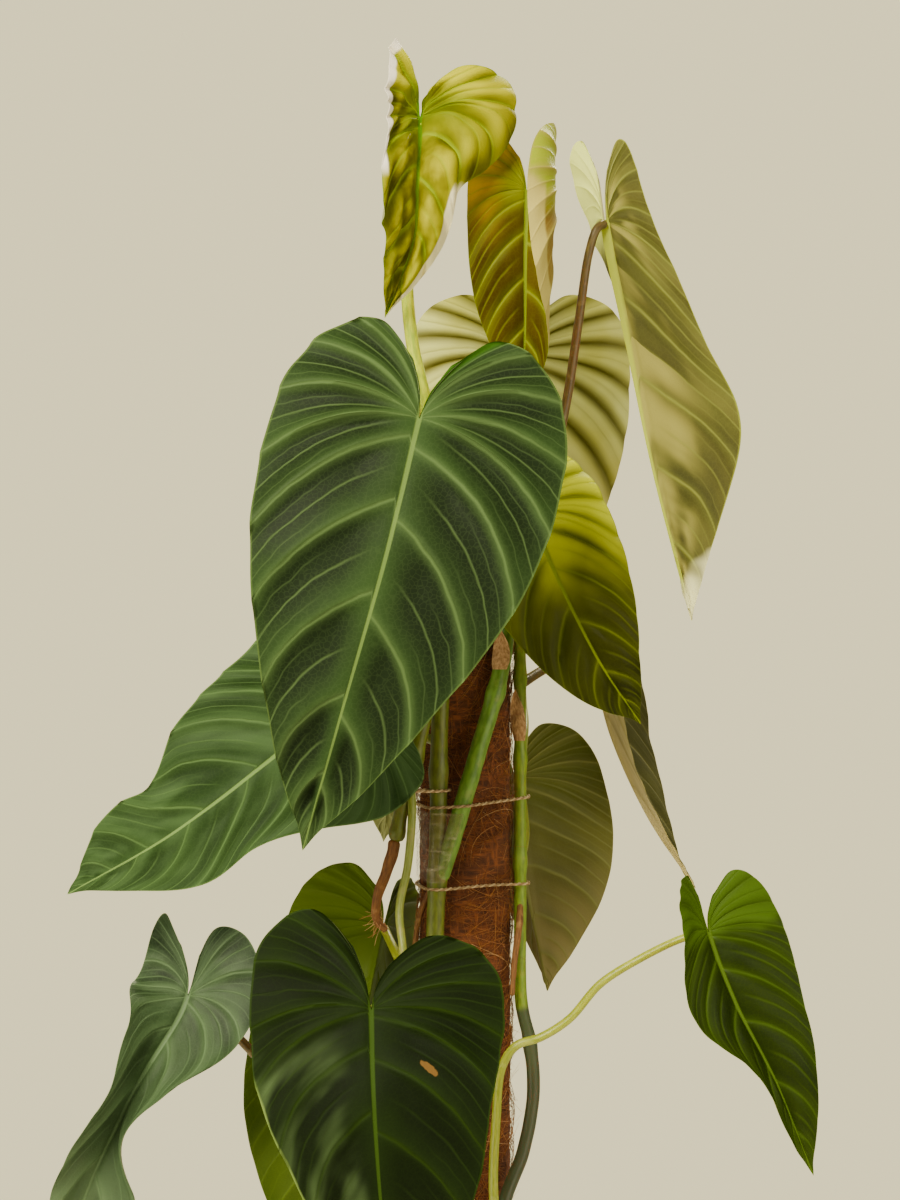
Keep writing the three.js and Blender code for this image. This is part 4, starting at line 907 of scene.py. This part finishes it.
# %% Fibre helper
def fibres(name, paths, radius, material, sides=3, tips=0.25, replaces=()):
    """Thin tubes along many paths at once. paths is (fibres, steps, 3) in metres, radius one number a fibre."""
    count, steps, _ = paths.shape
    tangent = unit(np.gradient(paths, axis=1))
    helper = unit(np.cross(tangent, np.array([0.31, 0.2, 0.93])))
    other = np.cross(tangent, helper)
    angle = np.arange(sides) * 2 * np.pi / sides
    run = np.linspace(0, 1, steps)
    taper = tips + (1 - tips) * np.sin(np.pi * np.clip(run, 0.04, 0.96))[None] ** 0.5
    size = np.asarray(radius).reshape(-1, 1) * taper
    angle = angle[:, None]
    ring = np.cos(angle) * helper[:, :, None] + np.sin(angle) * other[:, :, None]
    points = paths[:, :, None] + size[:, :, None, None] * ring
    one = grid_triangles(steps, sides, close_columns=True)
    caps = np.array([[0, 1, 2], [(steps - 1) * sides, (steps - 1) * sides + 2, (steps - 1) * sides + 1]])
    one = np.concatenate([one[:, ::-1], caps])
    triangles = (one[None] + (np.arange(count) * steps * sides)[:, None, None]).reshape(-1, 3)
    tone = np.repeat(np.random.default_rng(9).uniform(0, 1, count), steps * sides)
    piece = make_piece(name, points.reshape(-1, 3), triangles, values={"tone": tone}, materials=[material],
                       weld=False, sharp=180, replaces=replaces)
    print(f"{name}: {count} fibres, {len(piece.data.polygons)} triangles")
    return piece


def fibre_material(name, dark, middle, pale, rough=0.8):
    """Fibres that differ in tone one by one, through an attribute that each carries."""
    g = new_material(name)
    tone = g.node("ShaderNodeAttribute", attribute_name="tone").outputs["Fac"]
    place = g.place
    colour = g.mix(g.ramp(tone, 0.0, 0.55), dark, middle)
    colour = g.mix(g.ramp(tone, 0.6, 1.0), colour, pale)
    colour = g.mix(g.ramp(g.noise(place, 45, 3), 0.4, 0.7, 0.0, 0.55), colour, dark)
    return g.shade(colour, g.add(g.mul(tone, 0.15), rough - 0.1))

# %% Coir pole
POLE_RADIUS, SLEEVE_BOTTOM, SLEEVE_TOP = 23 * MM, 60 * MM, 610 * MM
SLEEVE_ROWS, SLEEVE_SIDES = 220, 72


def coir_skin():
    """The mat under the loose fibres: red-brown strands that cross each other, with painted shade in the dark gaps
    between them.
    """
    g = new_material("coir_mat")
    surface = g.surface
    place = g.place
    one = g.noise(g.stretched(surface, (3.0, 26.0, 1.0)), 3.0, 5, 0.65, 0.6)
    two = g.noise(g.stretched(surface, (22.0, 5.0, 1.0)), 3.0, 5, 0.65, 0.8)
    strands = g.math("MAXIMUM", one, two)
    # Painted shade: the gaps between the strands darker than the strands.
    colour = g.mix(g.ramp(strands, 0.42, 0.66), (78, 40, 14), (140, 76, 30))
    colour = g.mix(g.ramp(g.noise(place, 60, 3), 0.45, 0.75, 0.0, 0.5), colour, (70, 36, 14))
    return g.shade(colour, 0.9, g.bump(strands, 0.9, 2.0 * MM))


def coir_mat():
    """The sleeve: a turned profile whose radius is lowered and lumpy by noise, open in the middle for the stake."""
    z = np.concatenate([np.full(3, SLEEVE_BOTTOM), np.linspace(SLEEVE_BOTTOM, SLEEVE_TOP, SLEEVE_ROWS),
                        np.full(5, SLEEVE_TOP), [SLEEVE_TOP - 6 * MM, SLEEVE_BOTTOM]])
    out = np.concatenate([np.linspace(9, 21.5, 3), np.full(SLEEVE_ROWS, 22.4), np.linspace(21, 9, 5), [8.4, 8.4]])
    out = out * MM
    angle = np.linspace(0, 2 * np.pi, SLEEVE_SIDES, endpoint=False)
    across, back = np.cos(angle)[None], np.sin(angle)[None]
    lumps = wobble(5, z[:, None] * 260, across * 3, back * 3, waves=9) * 0.45 * MM
    lumps = lumps + wobble(6, z[:, None] * 1300, across * 12, back * 12, waves=9) * 0.25 * MM
    radius = out[:, None] + np.where(out[:, None] > 12 * MM, lumps, 0)
    points = turned(radius, angle, z[:, None])
    uv = np.stack([np.tile(angle / (2 * np.pi), (len(z), 1)), points[..., 2] / 0.15], -1)
    triangles = grid_triangles(len(z), SLEEVE_SIDES, close_rows=True, close_columns=True)
    return make_piece("coir_sleeve", points, triangles, uv=uv, materials=[coir_skin()], replaces=["coir_sleeve"])


report(coir_mat(), "coir_sleeve")


def pole_fibres(name, count, seed, length, lift, radius, low=0.15, material=None):
    """Fibres on the pole: a helix of random slope whose distance from the axis wanders, with some ends lifted."""
    rng = np.random.default_rng(seed)
    run = np.linspace(-0.5, 0.5, 7)[None, :]
    start, height = rng.uniform(0, 2 * np.pi, (count, 1)), rng.uniform(low, SLEEVE_TOP - 4 * MM, (count, 1))
    slope = np.radians(rng.normal(0, 48, (count, 1)))
    long = length * rng.uniform(0.5, 1.3, (count, 1))
    bend = rng.normal(0, 0.35, (count, 1)) * run**2 * long
    around = start + (long * run * np.cos(slope) + bend * np.sin(slope)) / POLE_RADIUS
    z = np.clip(height + long * run * np.sin(slope) - bend * np.cos(slope), low, SLEEVE_TOP)
    off = POLE_RADIUS - 0.3 * MM + rng.uniform(-0.5, 0.6, (count, 1)) * MM
    off = off + 1.8 * MM * np.clip(wobble(77, around * 2.5, z / 0.016), -0.3, 1)
    raised = lift * rng.uniform(0, 1, (count, 1)) ** 3 * (2 * run) ** 2
    off = off + raised * np.where(run > 0, 1, rng.uniform(0, 1, (count, 1)))
    paths = np.stack([off * np.cos(around), off * np.sin(around), z], -1)
    return fibres(name, paths, rng.uniform(0.6, 1.3, count) * radius, material)


coir = fibre_material("coir_fibre", (80, 40, 9), (150, 84, 26), (196, 130, 58))
pole_fibres("coir_fibres", 6200, 1, 26 * MM, 1.6 * MM, 0.11 * MM, material=coir)
pole_fibres("coir_strays", 900, 2, 24 * MM, 12 * MM, 0.1 * MM, material=coir)
# Pale strands on the pole: partly the lighter fibres that coir has, partly painted highlight.
pale_coir = fibre_material("coir_pale", (172, 104, 48), (206, 146, 84), (228, 182, 120))
pole_fibres("coir_bright", 420, 3, 34 * MM, 2.2 * MM, 0.13 * MM, material=pale_coir)

# %% Root hairs
def root_hairs(name, middle, spread, heading, count=34, seed=31):
    """A tuft of hairs where a root has torn off: straight lines from round a point, spread about one heading and
    bent by the square of the distance run. Points and lengths are in mm."""
    rng = np.random.default_rng(seed)
    run = np.linspace(0, 1, 6)[None, :, None]
    start = np.array(middle) + rng.normal(0, 1, (count, 1, 3)) * np.array(spread)
    way = unit(np.array(heading) + rng.normal(0, 0.5, (count, 1, 3)))
    paths = start + run * rng.uniform(4, 9, (count, 1, 1)) * way + run**2 * rng.normal(0, 1.2, (count, 1, 3))
    return fibres(name, paths * MM, np.full(count, 0.12 * MM), pale_coir)


root_hairs("root_hairs", (-42, -40.2, 436), (0.9, 0.6, 4.0), (-0.35, -0.2, -0.9))

# %% [markdown]
# ## Stake, ties, film and dry sheaths
# The stake is sawn softwood, seen only at the top of the pole. Twine is two strands laid round each other, so its
# section is two circles that turn along the run. The film is clear plastic pulled tight, and the sheaths are what
# is left of the scales that covered young leaves: thin, brown and papery.

# %% Stake
def wood_material():
    """Sawn softwood: rings round the axis that show as grain along it."""
    g = new_material("stake_wood")
    place = g.place
    grain = g.noise(g.stretched(place, (900.0, 900.0, 30.0)), 1.0, 4, 0.6)
    colour = g.mix(g.ramp(grain, 0.3, 0.7), (122, 92, 58), (176, 144, 100))
    return g.shade(colour, g.ramp(grain, 0.0, 1.0, 0.65, 0.85), g.bump(grain, 0.4, 0.4 * MM))


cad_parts["pole_core"].data.materials.clear()
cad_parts["pole_core"].data.materials.append(wood_material())

# %% Twine
STRAND_STEP, STRAND_RADIUS = 0.9, 0.45 * MM
twine = fibre_material("twine", (120, 92, 56), (176, 142, 96), (206, 180, 136), rough=0.85)


def tight_line(circles, clearance, height, start=0, end=360, step=3):
    """Points of a band pulled tight round circles (x, y, radius): in each direction the circle that reaches
    furthest, plus the clearance."""
    angle = np.radians(np.arange(start, end + 0.1, step))
    normal = np.stack([np.cos(angle), np.sin(angle)], -1)
    c = np.asarray(circles, float)
    best = np.argmax(normal @ c[:, :2].T + c[:, 2], axis=1)
    xy = c[best, :2] + normal * (c[best, 2] + clearance)[:, None]
    return np.column_stack([xy, np.full(len(xy), height)]), np.column_stack([normal, np.zeros(len(xy))])


def crossing(name, height):
    """Where a stem's middle is at a height, and its radius there, in mm."""
    points, radii = STEMS[name][:2]
    line, _ = smooth_path(points, 400)
    i = int(np.argmin(np.abs(line[:, 2] - height)))
    return line[i, 0], line[i, 1], radii[0] + (radii[1] - radii[0]) * i / 399


def evenly(line, normal, gap=None, count=None):
    """The same line at even steps of about gap mm, or at count points, with its outward directions."""
    run = np.concatenate([[0], np.cumsum(np.linalg.norm(np.diff(line, axis=0), axis=1))])
    even = np.linspace(0, run[-1], count or max(8, int(run[-1] / gap)))
    return tuple(np.stack([np.interp(even, run, a[:, k]) for k in range(3)], 1) for a in (line, normal))


def twine_loop(name, height, around, seed, tilt=0.0):
    """Two strands of twine twisted together round the pole and stems: each strand's middle is half a twine's
    width from the loop's line, and turns once every 5 mm."""
    circles = [(0, 0, 23) if a == "pole" else crossing(a, height) for a in around]
    line, normal = evenly(*tight_line(circles, 1.3, height), gap=STRAND_STEP)
    run = np.arange(len(line)) * STRAND_STEP
    paths = []
    for turn in (0, np.pi):
        twist = run / 5.0 * 2 * np.pi + turn
        lift = 0.42 * (np.cos(twist)[:, None] * normal + np.sin(twist)[:, None] * np.array([0, 0, 1.0]))
        sag = np.array([0, 0, 1.0]) * 0.5 * wobble(seed, run[:, None] * 0.06)
        slant = np.array([0, 0, tilt]) * line[:, :1]
        paths.append((line + lift + sag + slant) * MM)
    return fibres(name, np.array(paths), [STRAND_RADIUS] * 2, twine, sides=8, tips=1.0, replaces=[name])


twine_loop("tie_upper", 490, ["pole", "stem_left", "stem_middle", "stem_right"], 1, tilt=0.07)
twine_loop("tie_lower", 449, ["pole", "stem_left", "stem_right"], 2)
twine_loop("tie_shoot", 497, ["stem_left", "side_shoot"], 3)

# %% Film
FILM_ROWS, FILM_COLUMNS = 25, 70


def film_material():
    """Clear film: mostly see-through, with tight creases painted paler and less clear, a painted highlight where they
    catch the light.
    """
    g = new_material("clear_film")
    place = g.place
    creases = g.noise(g.stretched(place, (60.0, 60.0, 260.0)), 1.0, 4, 0.6, 1.0)
    # Painted highlight: the creases paler and less clear.
    return g.shade(g.mix(g.ramp(creases, 0.4, 0.7), (150, 112, 74), (216, 196, 160)),
                   g.ramp(creases, 0.3, 0.8, 0.12, 0.3), g.bump(creases, 0.5, 0.6 * MM),
                   Alpha=g.ramp(creases, 0.5, 0.8, 0.1, 0.3))


def film():
    """A strip from tie to tie: the tight line at each height, so that it follows the stems as they lean."""
    rows = []
    for z in np.linspace(452, 486, FILM_ROWS):
        circles = [(0, 0, 23.3)] + [crossing(n, max(z, 456)) for n in ("stem_left", "stem_middle")]
        circles = [(x, y, r + 0.6) for x, y, r in circles]
        rows.append(evenly(*tight_line(circles, 0.3, z, 170, 290, 1.5), count=FILM_COLUMNS)[0])
    skin = np.array(rows)
    out = unit(skin * np.array([1, 1, 0]))
    wave = wobble(8, skin[..., 2] * 0.5, np.arange(FILM_COLUMNS)[None] * 0.2, waves=7) * 0.25
    inner = (skin + wave[..., None] * out) * MM
    outer = inner + 0.12 * MM * out
    triangles = np.concatenate(sheet_triangles(FILM_ROWS, FILM_COLUMNS))
    return make_piece("film_wrap", np.concatenate([inner, outer]), triangles,
                      materials=[film_material()], sharp=40, replaces=["film_wrap"])


report(film(), "film_wrap")

# %% Dry sheaths
SHEATH_HALF = 0.15  # mm, half of a sheath's thickness
dry = stem_material("dry_sheath", (206, 160, 104), (150, 104, 60), (116, 76, 42), rough=0.8)


def sheath(name, stem, bottom, length, turn, spread, curl):
    """A pointed scale round a stem: the opening angle is a sine of the height, and the tip rolls away."""
    rows, columns = 40, 24
    share = np.linspace(0, 1, rows)
    around = np.array([crossing(stem, bottom + length * v) for v in share])
    open_angle = np.radians(spread) * np.sin((0.55 + 0.42 * share) * np.pi)
    v, c = np.meshgrid(share, np.linspace(-0.5, 0.5, columns), indexing="ij")
    angle = np.radians(turn) + open_angle[:, None] * c
    off = around[:, 2:3] + 0.05 + 0.85 * np.minimum(v * 5, 1) + curl * v**2
    off = off + 0.5 * wobble(len(name), v * 9, c * 7) * v + 1.4 * np.abs(2 * c) ** 3 * v
    points = np.stack([around[:, 0:1] + off * np.cos(angle), around[:, 1:2] + off * np.sin(angle),
                       bottom + length * (v - 0.08 * np.abs(2 * c) ** 2 * v)], -1)
    out = np.stack([np.cos(angle), np.sin(angle), 0 * angle], -1)
    both = np.concatenate([points - SHEATH_HALF * out, points + SHEATH_HALF * out]) * MM
    uv = np.tile(np.stack([v, c * 2], -1), (2, 1, 1))
    return make_piece(name, both, np.concatenate(sheet_triangles(rows, columns)), uv=uv, materials=[dry],
                      replaces=[name])


report(sheath("sheath_stem", "stem_right", 520, 26, 250, 130, 3.5), "sheath_stem")
report(sheath("sheath_top", "stem_middle", 556, 20, 250, 120, 3.5), "sheath_top")

# %% [markdown]
# ## Soil
# Potting mix is a dark crumbly surface with lumps of bark, coir dust and a few white grains of perlite. The
# surface is a disc on polar coordinates with noise for its height, and the lumps are a few small rounded stones
# of twenty faces, scattered by whole arrays.

# %% Soil
POT_HEIGHT, RIM_RADIUS, RIM_BAND, BASE_RADIUS, POT_WALL, POT_FLOOR = 175, 100, 30, 72, 7, 9
SOIL_TOP, SOIL_GAP, SOIL_SIDES = 158, 0.6, 120
CLEAR_OF_POLE, CLEAR_OF_WALL = 27, 82  # mm from the axis, where the lumps begin and end


def pot_inside(z):
    """Inside radius of the pot at a height, in mm."""
    return BASE_RADIUS - POT_WALL + (RIM_RADIUS - 5 - BASE_RADIUS) * z / POT_HEIGHT


def soil_material():
    """Dark moist mix, with paler dry crumbs."""
    g = new_material("soil")
    place = g.place
    crumb = g.noise(place, 260, 5, 0.7)
    colour = g.mix(g.ramp(crumb, 0.35, 0.7), (34, 24, 17), (84, 62, 44))
    colour = g.mix(g.ramp(g.noise(place, 900, 2), 0.66, 0.74, 0.0, 0.7), colour, (140, 112, 84))
    return g.shade(colour, 0.95, g.bump(crumb, 1.0, 2.5 * MM))


def soil_height(x, y):
    """Height of the soil in mm: nearly level, a little heaped at the pole, with lumps."""
    away = np.hypot(x, y)
    return (SOIL_TOP + 1.2 * np.exp(-((away - 30) / 25) ** 2) - 2.5 * np.clip((away - 78) / 8, 0, 1)
            + 0.9 * wobble(31, x * 0.12, y * 0.12, waves=7) + 0.8 * wobble(32, x * 0.5, y * 0.5, waves=9))


def soil():
    """A disc on polar coordinates, its side down the pot's wall and a bottom, closed at two poles."""
    angle = np.linspace(0, 2 * np.pi, SOIL_SIDES, endpoint=False)
    out = np.concatenate([[0], np.linspace(3, pot_inside(SOIL_TOP) - SOIL_GAP, 44)])
    x, y = out[:, None] * np.cos(angle), out[:, None] * np.sin(angle)
    top = np.stack([x, y, soil_height(x, y)], -1)
    down = np.array([150.0, 120, 80, 40, 13.5])
    size = np.concatenate([pot_inside(down) - SOIL_GAP, [pot_inside(9) - 5, 0]])
    low = turned(size[:, None], angle, np.concatenate([down, [9.3, 9.3]])[:, None])
    points = np.concatenate([top, low])
    points[0] = points[0].mean(0)
    triangles = grid_triangles(len(points), SOIL_SIDES, close_columns=True)[:, ::-1]
    return make_piece("soil", points * MM, triangles,
                      materials=[soil_material()], sharp=60, replaces=["soil"])


report(soil(), "soil")


def scattered(name, count, seed, sizes, material, sink=0.25, stretch=(1.0, 0.7, 0.55)):
    """Small lumps on the soil: an icosahedron for each, stretched, turned and placed by whole arrays."""
    rng = np.random.default_rng(seed)
    golden = (1 + 5**0.5) / 2
    base = unit(np.array([(-1, golden, 0), (1, golden, 0), (-1, -golden, 0), (1, -golden, 0), (0, -1, golden),
                          (0, 1, golden), (0, -1, -golden), (0, 1, -golden), (golden, 0, -1), (golden, 0, 1),
                          (-golden, 0, -1), (-golden, 0, 1)], float))
    faces = np.array([(0, 11, 5), (0, 5, 1), (0, 1, 7), (0, 7, 10), (0, 10, 11), (1, 5, 9), (5, 11, 4), (11, 10, 2),
                      (10, 7, 6), (7, 1, 8), (3, 9, 4), (3, 4, 2), (3, 2, 6), (3, 6, 8), (3, 8, 9), (4, 9, 5),
                      (2, 4, 11), (6, 2, 10), (8, 6, 7), (9, 8, 1)])
    away = np.sqrt(rng.uniform(CLEAR_OF_POLE**2, CLEAR_OF_WALL**2, count))
    turn = rng.uniform(0, 2 * np.pi, count)
    x, y = away * np.cos(turn), away * np.sin(turn)
    size = rng.uniform(*sizes, count) * rng.uniform(0.5, 1, count)
    shape = base[None] * rng.uniform(0.75, 1.2, (count, 12, 1)) * np.array(stretch) * size[:, None, None]
    q = unit(rng.normal(0, 1, (count, 4)) * np.array([1.0, 0.25, 0.25, 1.0]))
    w, i, j, k = q.T
    spin = np.stack([np.stack([1 - 2 * (j * j + k * k), 2 * (i * j - k * w), 2 * (i * k + j * w)], -1),
                     np.stack([2 * (i * j + k * w), 1 - 2 * (i * i + k * k), 2 * (j * k - i * w)], -1),
                     np.stack([2 * (i * k - j * w), 2 * (j * k + i * w), 1 - 2 * (i * i + j * j)], -1)], 1)
    centre = np.stack([x, y, soil_height(x, y) + size * sink], -1)
    points = np.einsum("nab,npb->npa", spin, shape) + centre[:, None]
    triangles = (faces[None] + (np.arange(count) * 12)[:, None, None]).reshape(-1, 3)
    tone = np.repeat(rng.uniform(0, 1, count), 12)
    piece = make_piece(name, points.reshape(-1, 3) * MM, triangles, values={"tone": tone}, materials=[material],
                       weld=False, sharp=35)
    print(f"{name}: {count} lumps")
    return piece


bark = fibre_material("bark", (44, 28, 18), (84, 54, 34), (122, 86, 58), rough=0.9)
crumbs = fibre_material("crumbs", (30, 20, 14), (56, 40, 28), (92, 70, 50), rough=0.95)
perlite = fibre_material("perlite", (190, 186, 176), (214, 210, 200), (232, 230, 224), rough=0.95)
scattered("soil_crumbs", 2600, 41, (0.7, 2.2), crumbs, sink=0.1)
scattered("soil_bark", 230, 42, (2.5, 6.0), bark, sink=0.2, stretch=(1.0, 0.6, 0.32))
scattered("soil_perlite", 130, 43, (0.9, 2.0), perlite, sink=0.35)

# %% [markdown]
# ## Pot
# A plain clay pot is thrown or pressed and fired without a glaze. Its wall is a turned profile. The clay is never
# one colour: it darkens where damp comes through, and pale salts bloom on the wall, most of all low down.

# %% Pot
def clay_material():
    """Unglazed clay: warm body, paler salt bloom, darker damp foot, fine turning lines and grit."""
    g = new_material("clay")
    place = g.place
    height = g.node("ShaderNodeSeparateXYZ", {0: place}).outputs[2]
    slow, grit = g.noise(place, 16, 5, 0.6), g.noise(place, 1400, 3)
    turning = g.noise(g.stretched(place, (4.0, 4.0, 700.0)), 1.0, 3)
    colour = g.mix(g.ramp(slow, 0.3, 0.7), (150, 88, 58), (176, 110, 76))
    bloom = g.mul(g.ramp(g.noise(place, 30, 5, 0.65), 0.48, 0.72), g.ramp(height, 0.015, 0.10, 0.75, 0.25))
    colour = g.mix(g.mul(bloom, 0.75), colour, (196, 164, 138))
    colour = g.mix(g.ramp(g.add(height, g.mul(slow, 0.05)), 0.03, 0.06, 0.45, 0.0), colour, (120, 66, 42))
    colour = g.mix(g.ramp(grit, 0.62, 0.72, 0.0, 0.5), colour, (120, 70, 46))
    relief = g.add(g.mul(turning, 0.6), g.mul(grit, 0.4))
    return g.shade(colour, g.ramp(slow, 0.2, 0.8, 0.78, 0.92), g.bump(relief, 0.45, 0.5 * MM))


clay = clay_material()
POT_SIDES, DRAIN_SIDES, DRAIN_RADIUS, DRAIN_OUT = 128, 32, 5, 42


def pot():
    """The turned profile with its edges rounded and a few more rows, wavy by a few tenths of a millimetre. The
    drain holes are cut as three short shafts by the boolean below."""
    shoulder = POT_HEIGHT - RIM_BAND
    outer = lambda z: pot_inside(z) + POT_WALL
    corners = [(0, 0), (BASE_RADIUS - 3, 0), (BASE_RADIUS - 0.8, 0.8), (BASE_RADIUS + 0.2, 3), (outer(60), 60),
               (outer(110), 110), (outer(shoulder), shoulder - 1.2), (outer(shoulder) + 1.2, shoulder + 0.6),
               (RIM_RADIUS - 2, shoulder + 2.4), (RIM_RADIUS - 0.3, shoulder + 5), (RIM_RADIUS, shoulder + 8),
               (RIM_RADIUS, POT_HEIGHT - 5), (RIM_RADIUS - 0.8, POT_HEIGHT - 1.6), (RIM_RADIUS - 3, POT_HEIGHT),
               (RIM_RADIUS - 5, POT_HEIGHT), (pot_inside(POT_HEIGHT) + 0.8, POT_HEIGHT - 0.8),
               (pot_inside(POT_HEIGHT - 3), POT_HEIGHT - 3.5), (pot_inside(120), 120), (pot_inside(60), 60),
               (pot_inside(POT_FLOOR + 4), POT_FLOOR + 4), (pot_inside(POT_FLOOR) - 4, POT_FLOOR), (0, POT_FLOOR)]
    angle = np.linspace(0, 2 * np.pi, POT_SIDES, endpoint=False)
    radius, z = np.array(corners, float).T
    steps = np.arange(4 * len(radius) - 3) / 4
    radius, z = np.interp(steps, np.arange(len(radius)), radius), np.interp(steps, np.arange(len(z)), z)
    wave = 0.2 * wobble(77, z[:, None] * 0.08, 2 * np.cos(angle)[None], 2 * np.sin(angle)[None]) * (z[:, None] > 2)
    ring = np.where(radius[:, None] > 1, radius[:, None] + wave, radius[:, None])
    points = turned(ring, angle, z[:, None]) * MM
    return make_piece("pot", points, grid_triangles(len(z), POT_SIDES, close_columns=True),
                      materials=[clay], sharp=55, replaces=["pot"])


pot_piece = pot()
for turn in (90, 210, 330):
    shaft = bpy.data.objects.new("shaft", bpy.data.meshes.new("shaft"))
    n, a = DRAIN_SIDES, np.linspace(0, 2 * np.pi, DRAIN_SIDES, endpoint=False)
    middle = [DRAIN_OUT * math.cos(math.radians(turn)), DRAIN_OUT * math.sin(math.radians(turn)), 0]
    points = np.vstack([turned(DRAIN_RADIUS, a, z) + middle for z in (-4, POT_FLOOR + 5)]) * MM
    walls = [[i, (i + 1) % n, n + (i + 1) % n, n + i] for i in range(n)]
    faces = [list(range(n - 1, -1, -1)), list(range(n, 2 * n)), *walls]
    shaft.data.from_pydata(points.tolist(), [], faces)
    bpy.context.collection.objects.link(shaft)
    cut = pot_piece.modifiers.new("drain", "BOOLEAN")
    cut.object, cut.operation, cut.solver = shaft, "DIFFERENCE", "EXACT"
    bpy.context.view_layer.update()
    drained = bpy.data.meshes.new_from_object(pot_piece.evaluated_get(bpy.context.evaluated_depsgraph_get()))
    pot_piece.modifiers.clear()
    pot_piece.data = drained
    bpy.data.objects.remove(shaft)
pot_piece.data.name = "pot"
pot_piece.data.materials.clear()
pot_piece.data.materials.append(clay)
report(pot_piece, "pot")

# %% [markdown]
# ## Floor and light
# The object stands on a plain pale floor that fades out towards its edge. The light is soft: a large source high
# on the right, a weaker one on the left, and one behind that shines through the young leaves.

# %% Stage
def floor():
    """A disc whose surface turns clear towards its edge, so that it has no visible border."""
    rows, sides = 12, 96
    angle = np.linspace(0, 2 * np.pi, sides, endpoint=False)
    points = turned(np.linspace(0, 1.25, rows)[:, None], angle, -0.2 * MM)
    g = new_material("floor")
    place = g.place
    away = g.node("ShaderNodeVectorMath", {0: place}, operation="LENGTH").outputs["Value"]
    shade = g.noise(place, 3.0, 3)
    stone = g.shade(g.mix(shade, (214, 208, 196), (222, 217, 206)), 0.8, Alpha=g.fall(away, 0.45, 1.2))
    triangles = grid_triangles(rows, sides, close_columns=True)[:, ::-1]
    disc = make_piece("floor", points, triangles, materials=[stone])
    disc.parent = None
    return disc


def area_light(name, place, aim, size, power, colour):
    """A square area light that faces a point."""
    light = bpy.data.lights.new(name, "AREA")
    light.shape, light.size, light.energy, light.color = "SQUARE", size, power, colour
    lamp = bpy.data.objects.new(name, light)
    bpy.context.collection.objects.link(lamp)
    lamp.location = place
    away = np.array(aim) - np.array(place)
    lamp.rotation_euler = Vector(away).to_track_quat("-Z", "Y").to_euler()


floor()
area_light("key", (-0.55, -1.4, 1.7), (0, 0, 0.6), 0.6, 42, (1.0, 0.93, 0.70))
area_light("left", (-1.3, -0.8, 0.4), (-0.1, 0, 0.45), 0.8, 9, (1.0, 0.95, 0.78))
area_light("top", (-0.4, -0.6, 1.35), (0, 0, 0.75), 0.4, 7, (1.0, 0.94, 0.74))
area_light("fill", (1.5, -1.5, 0.9), (0, 0, 0.5), 1.4, 20, (1.0, 0.93, 0.72))
area_light("back", (0.35, 0.9, 1.5), (0, 0, 0.75), 0.7, 45, (1.0, 0.93, 0.66))
world = bpy.data.worlds.new("soft_room")
bpy.context.scene.world = world
world.use_nodes = True
w = Graph(world.node_tree)
w.tree.nodes.clear()
seen = w.node("ShaderNodeBackground", {"Color": (0.99, 0.88, 0.50, 1), "Strength": 1.33})
lit = w.node("ShaderNodeBackground", {"Color": (0.92, 0.84, 0.62, 1), "Strength": 0.35})
ray = w.node("ShaderNodeLightPath").outputs["Is Camera Ray"]
sky = w.node("ShaderNodeMixShader", {0: ray, 1: lit.outputs[0], 2: seen.outputs[0]})
w.node("ShaderNodeOutputWorld", {"Surface": sky.outputs[0]})
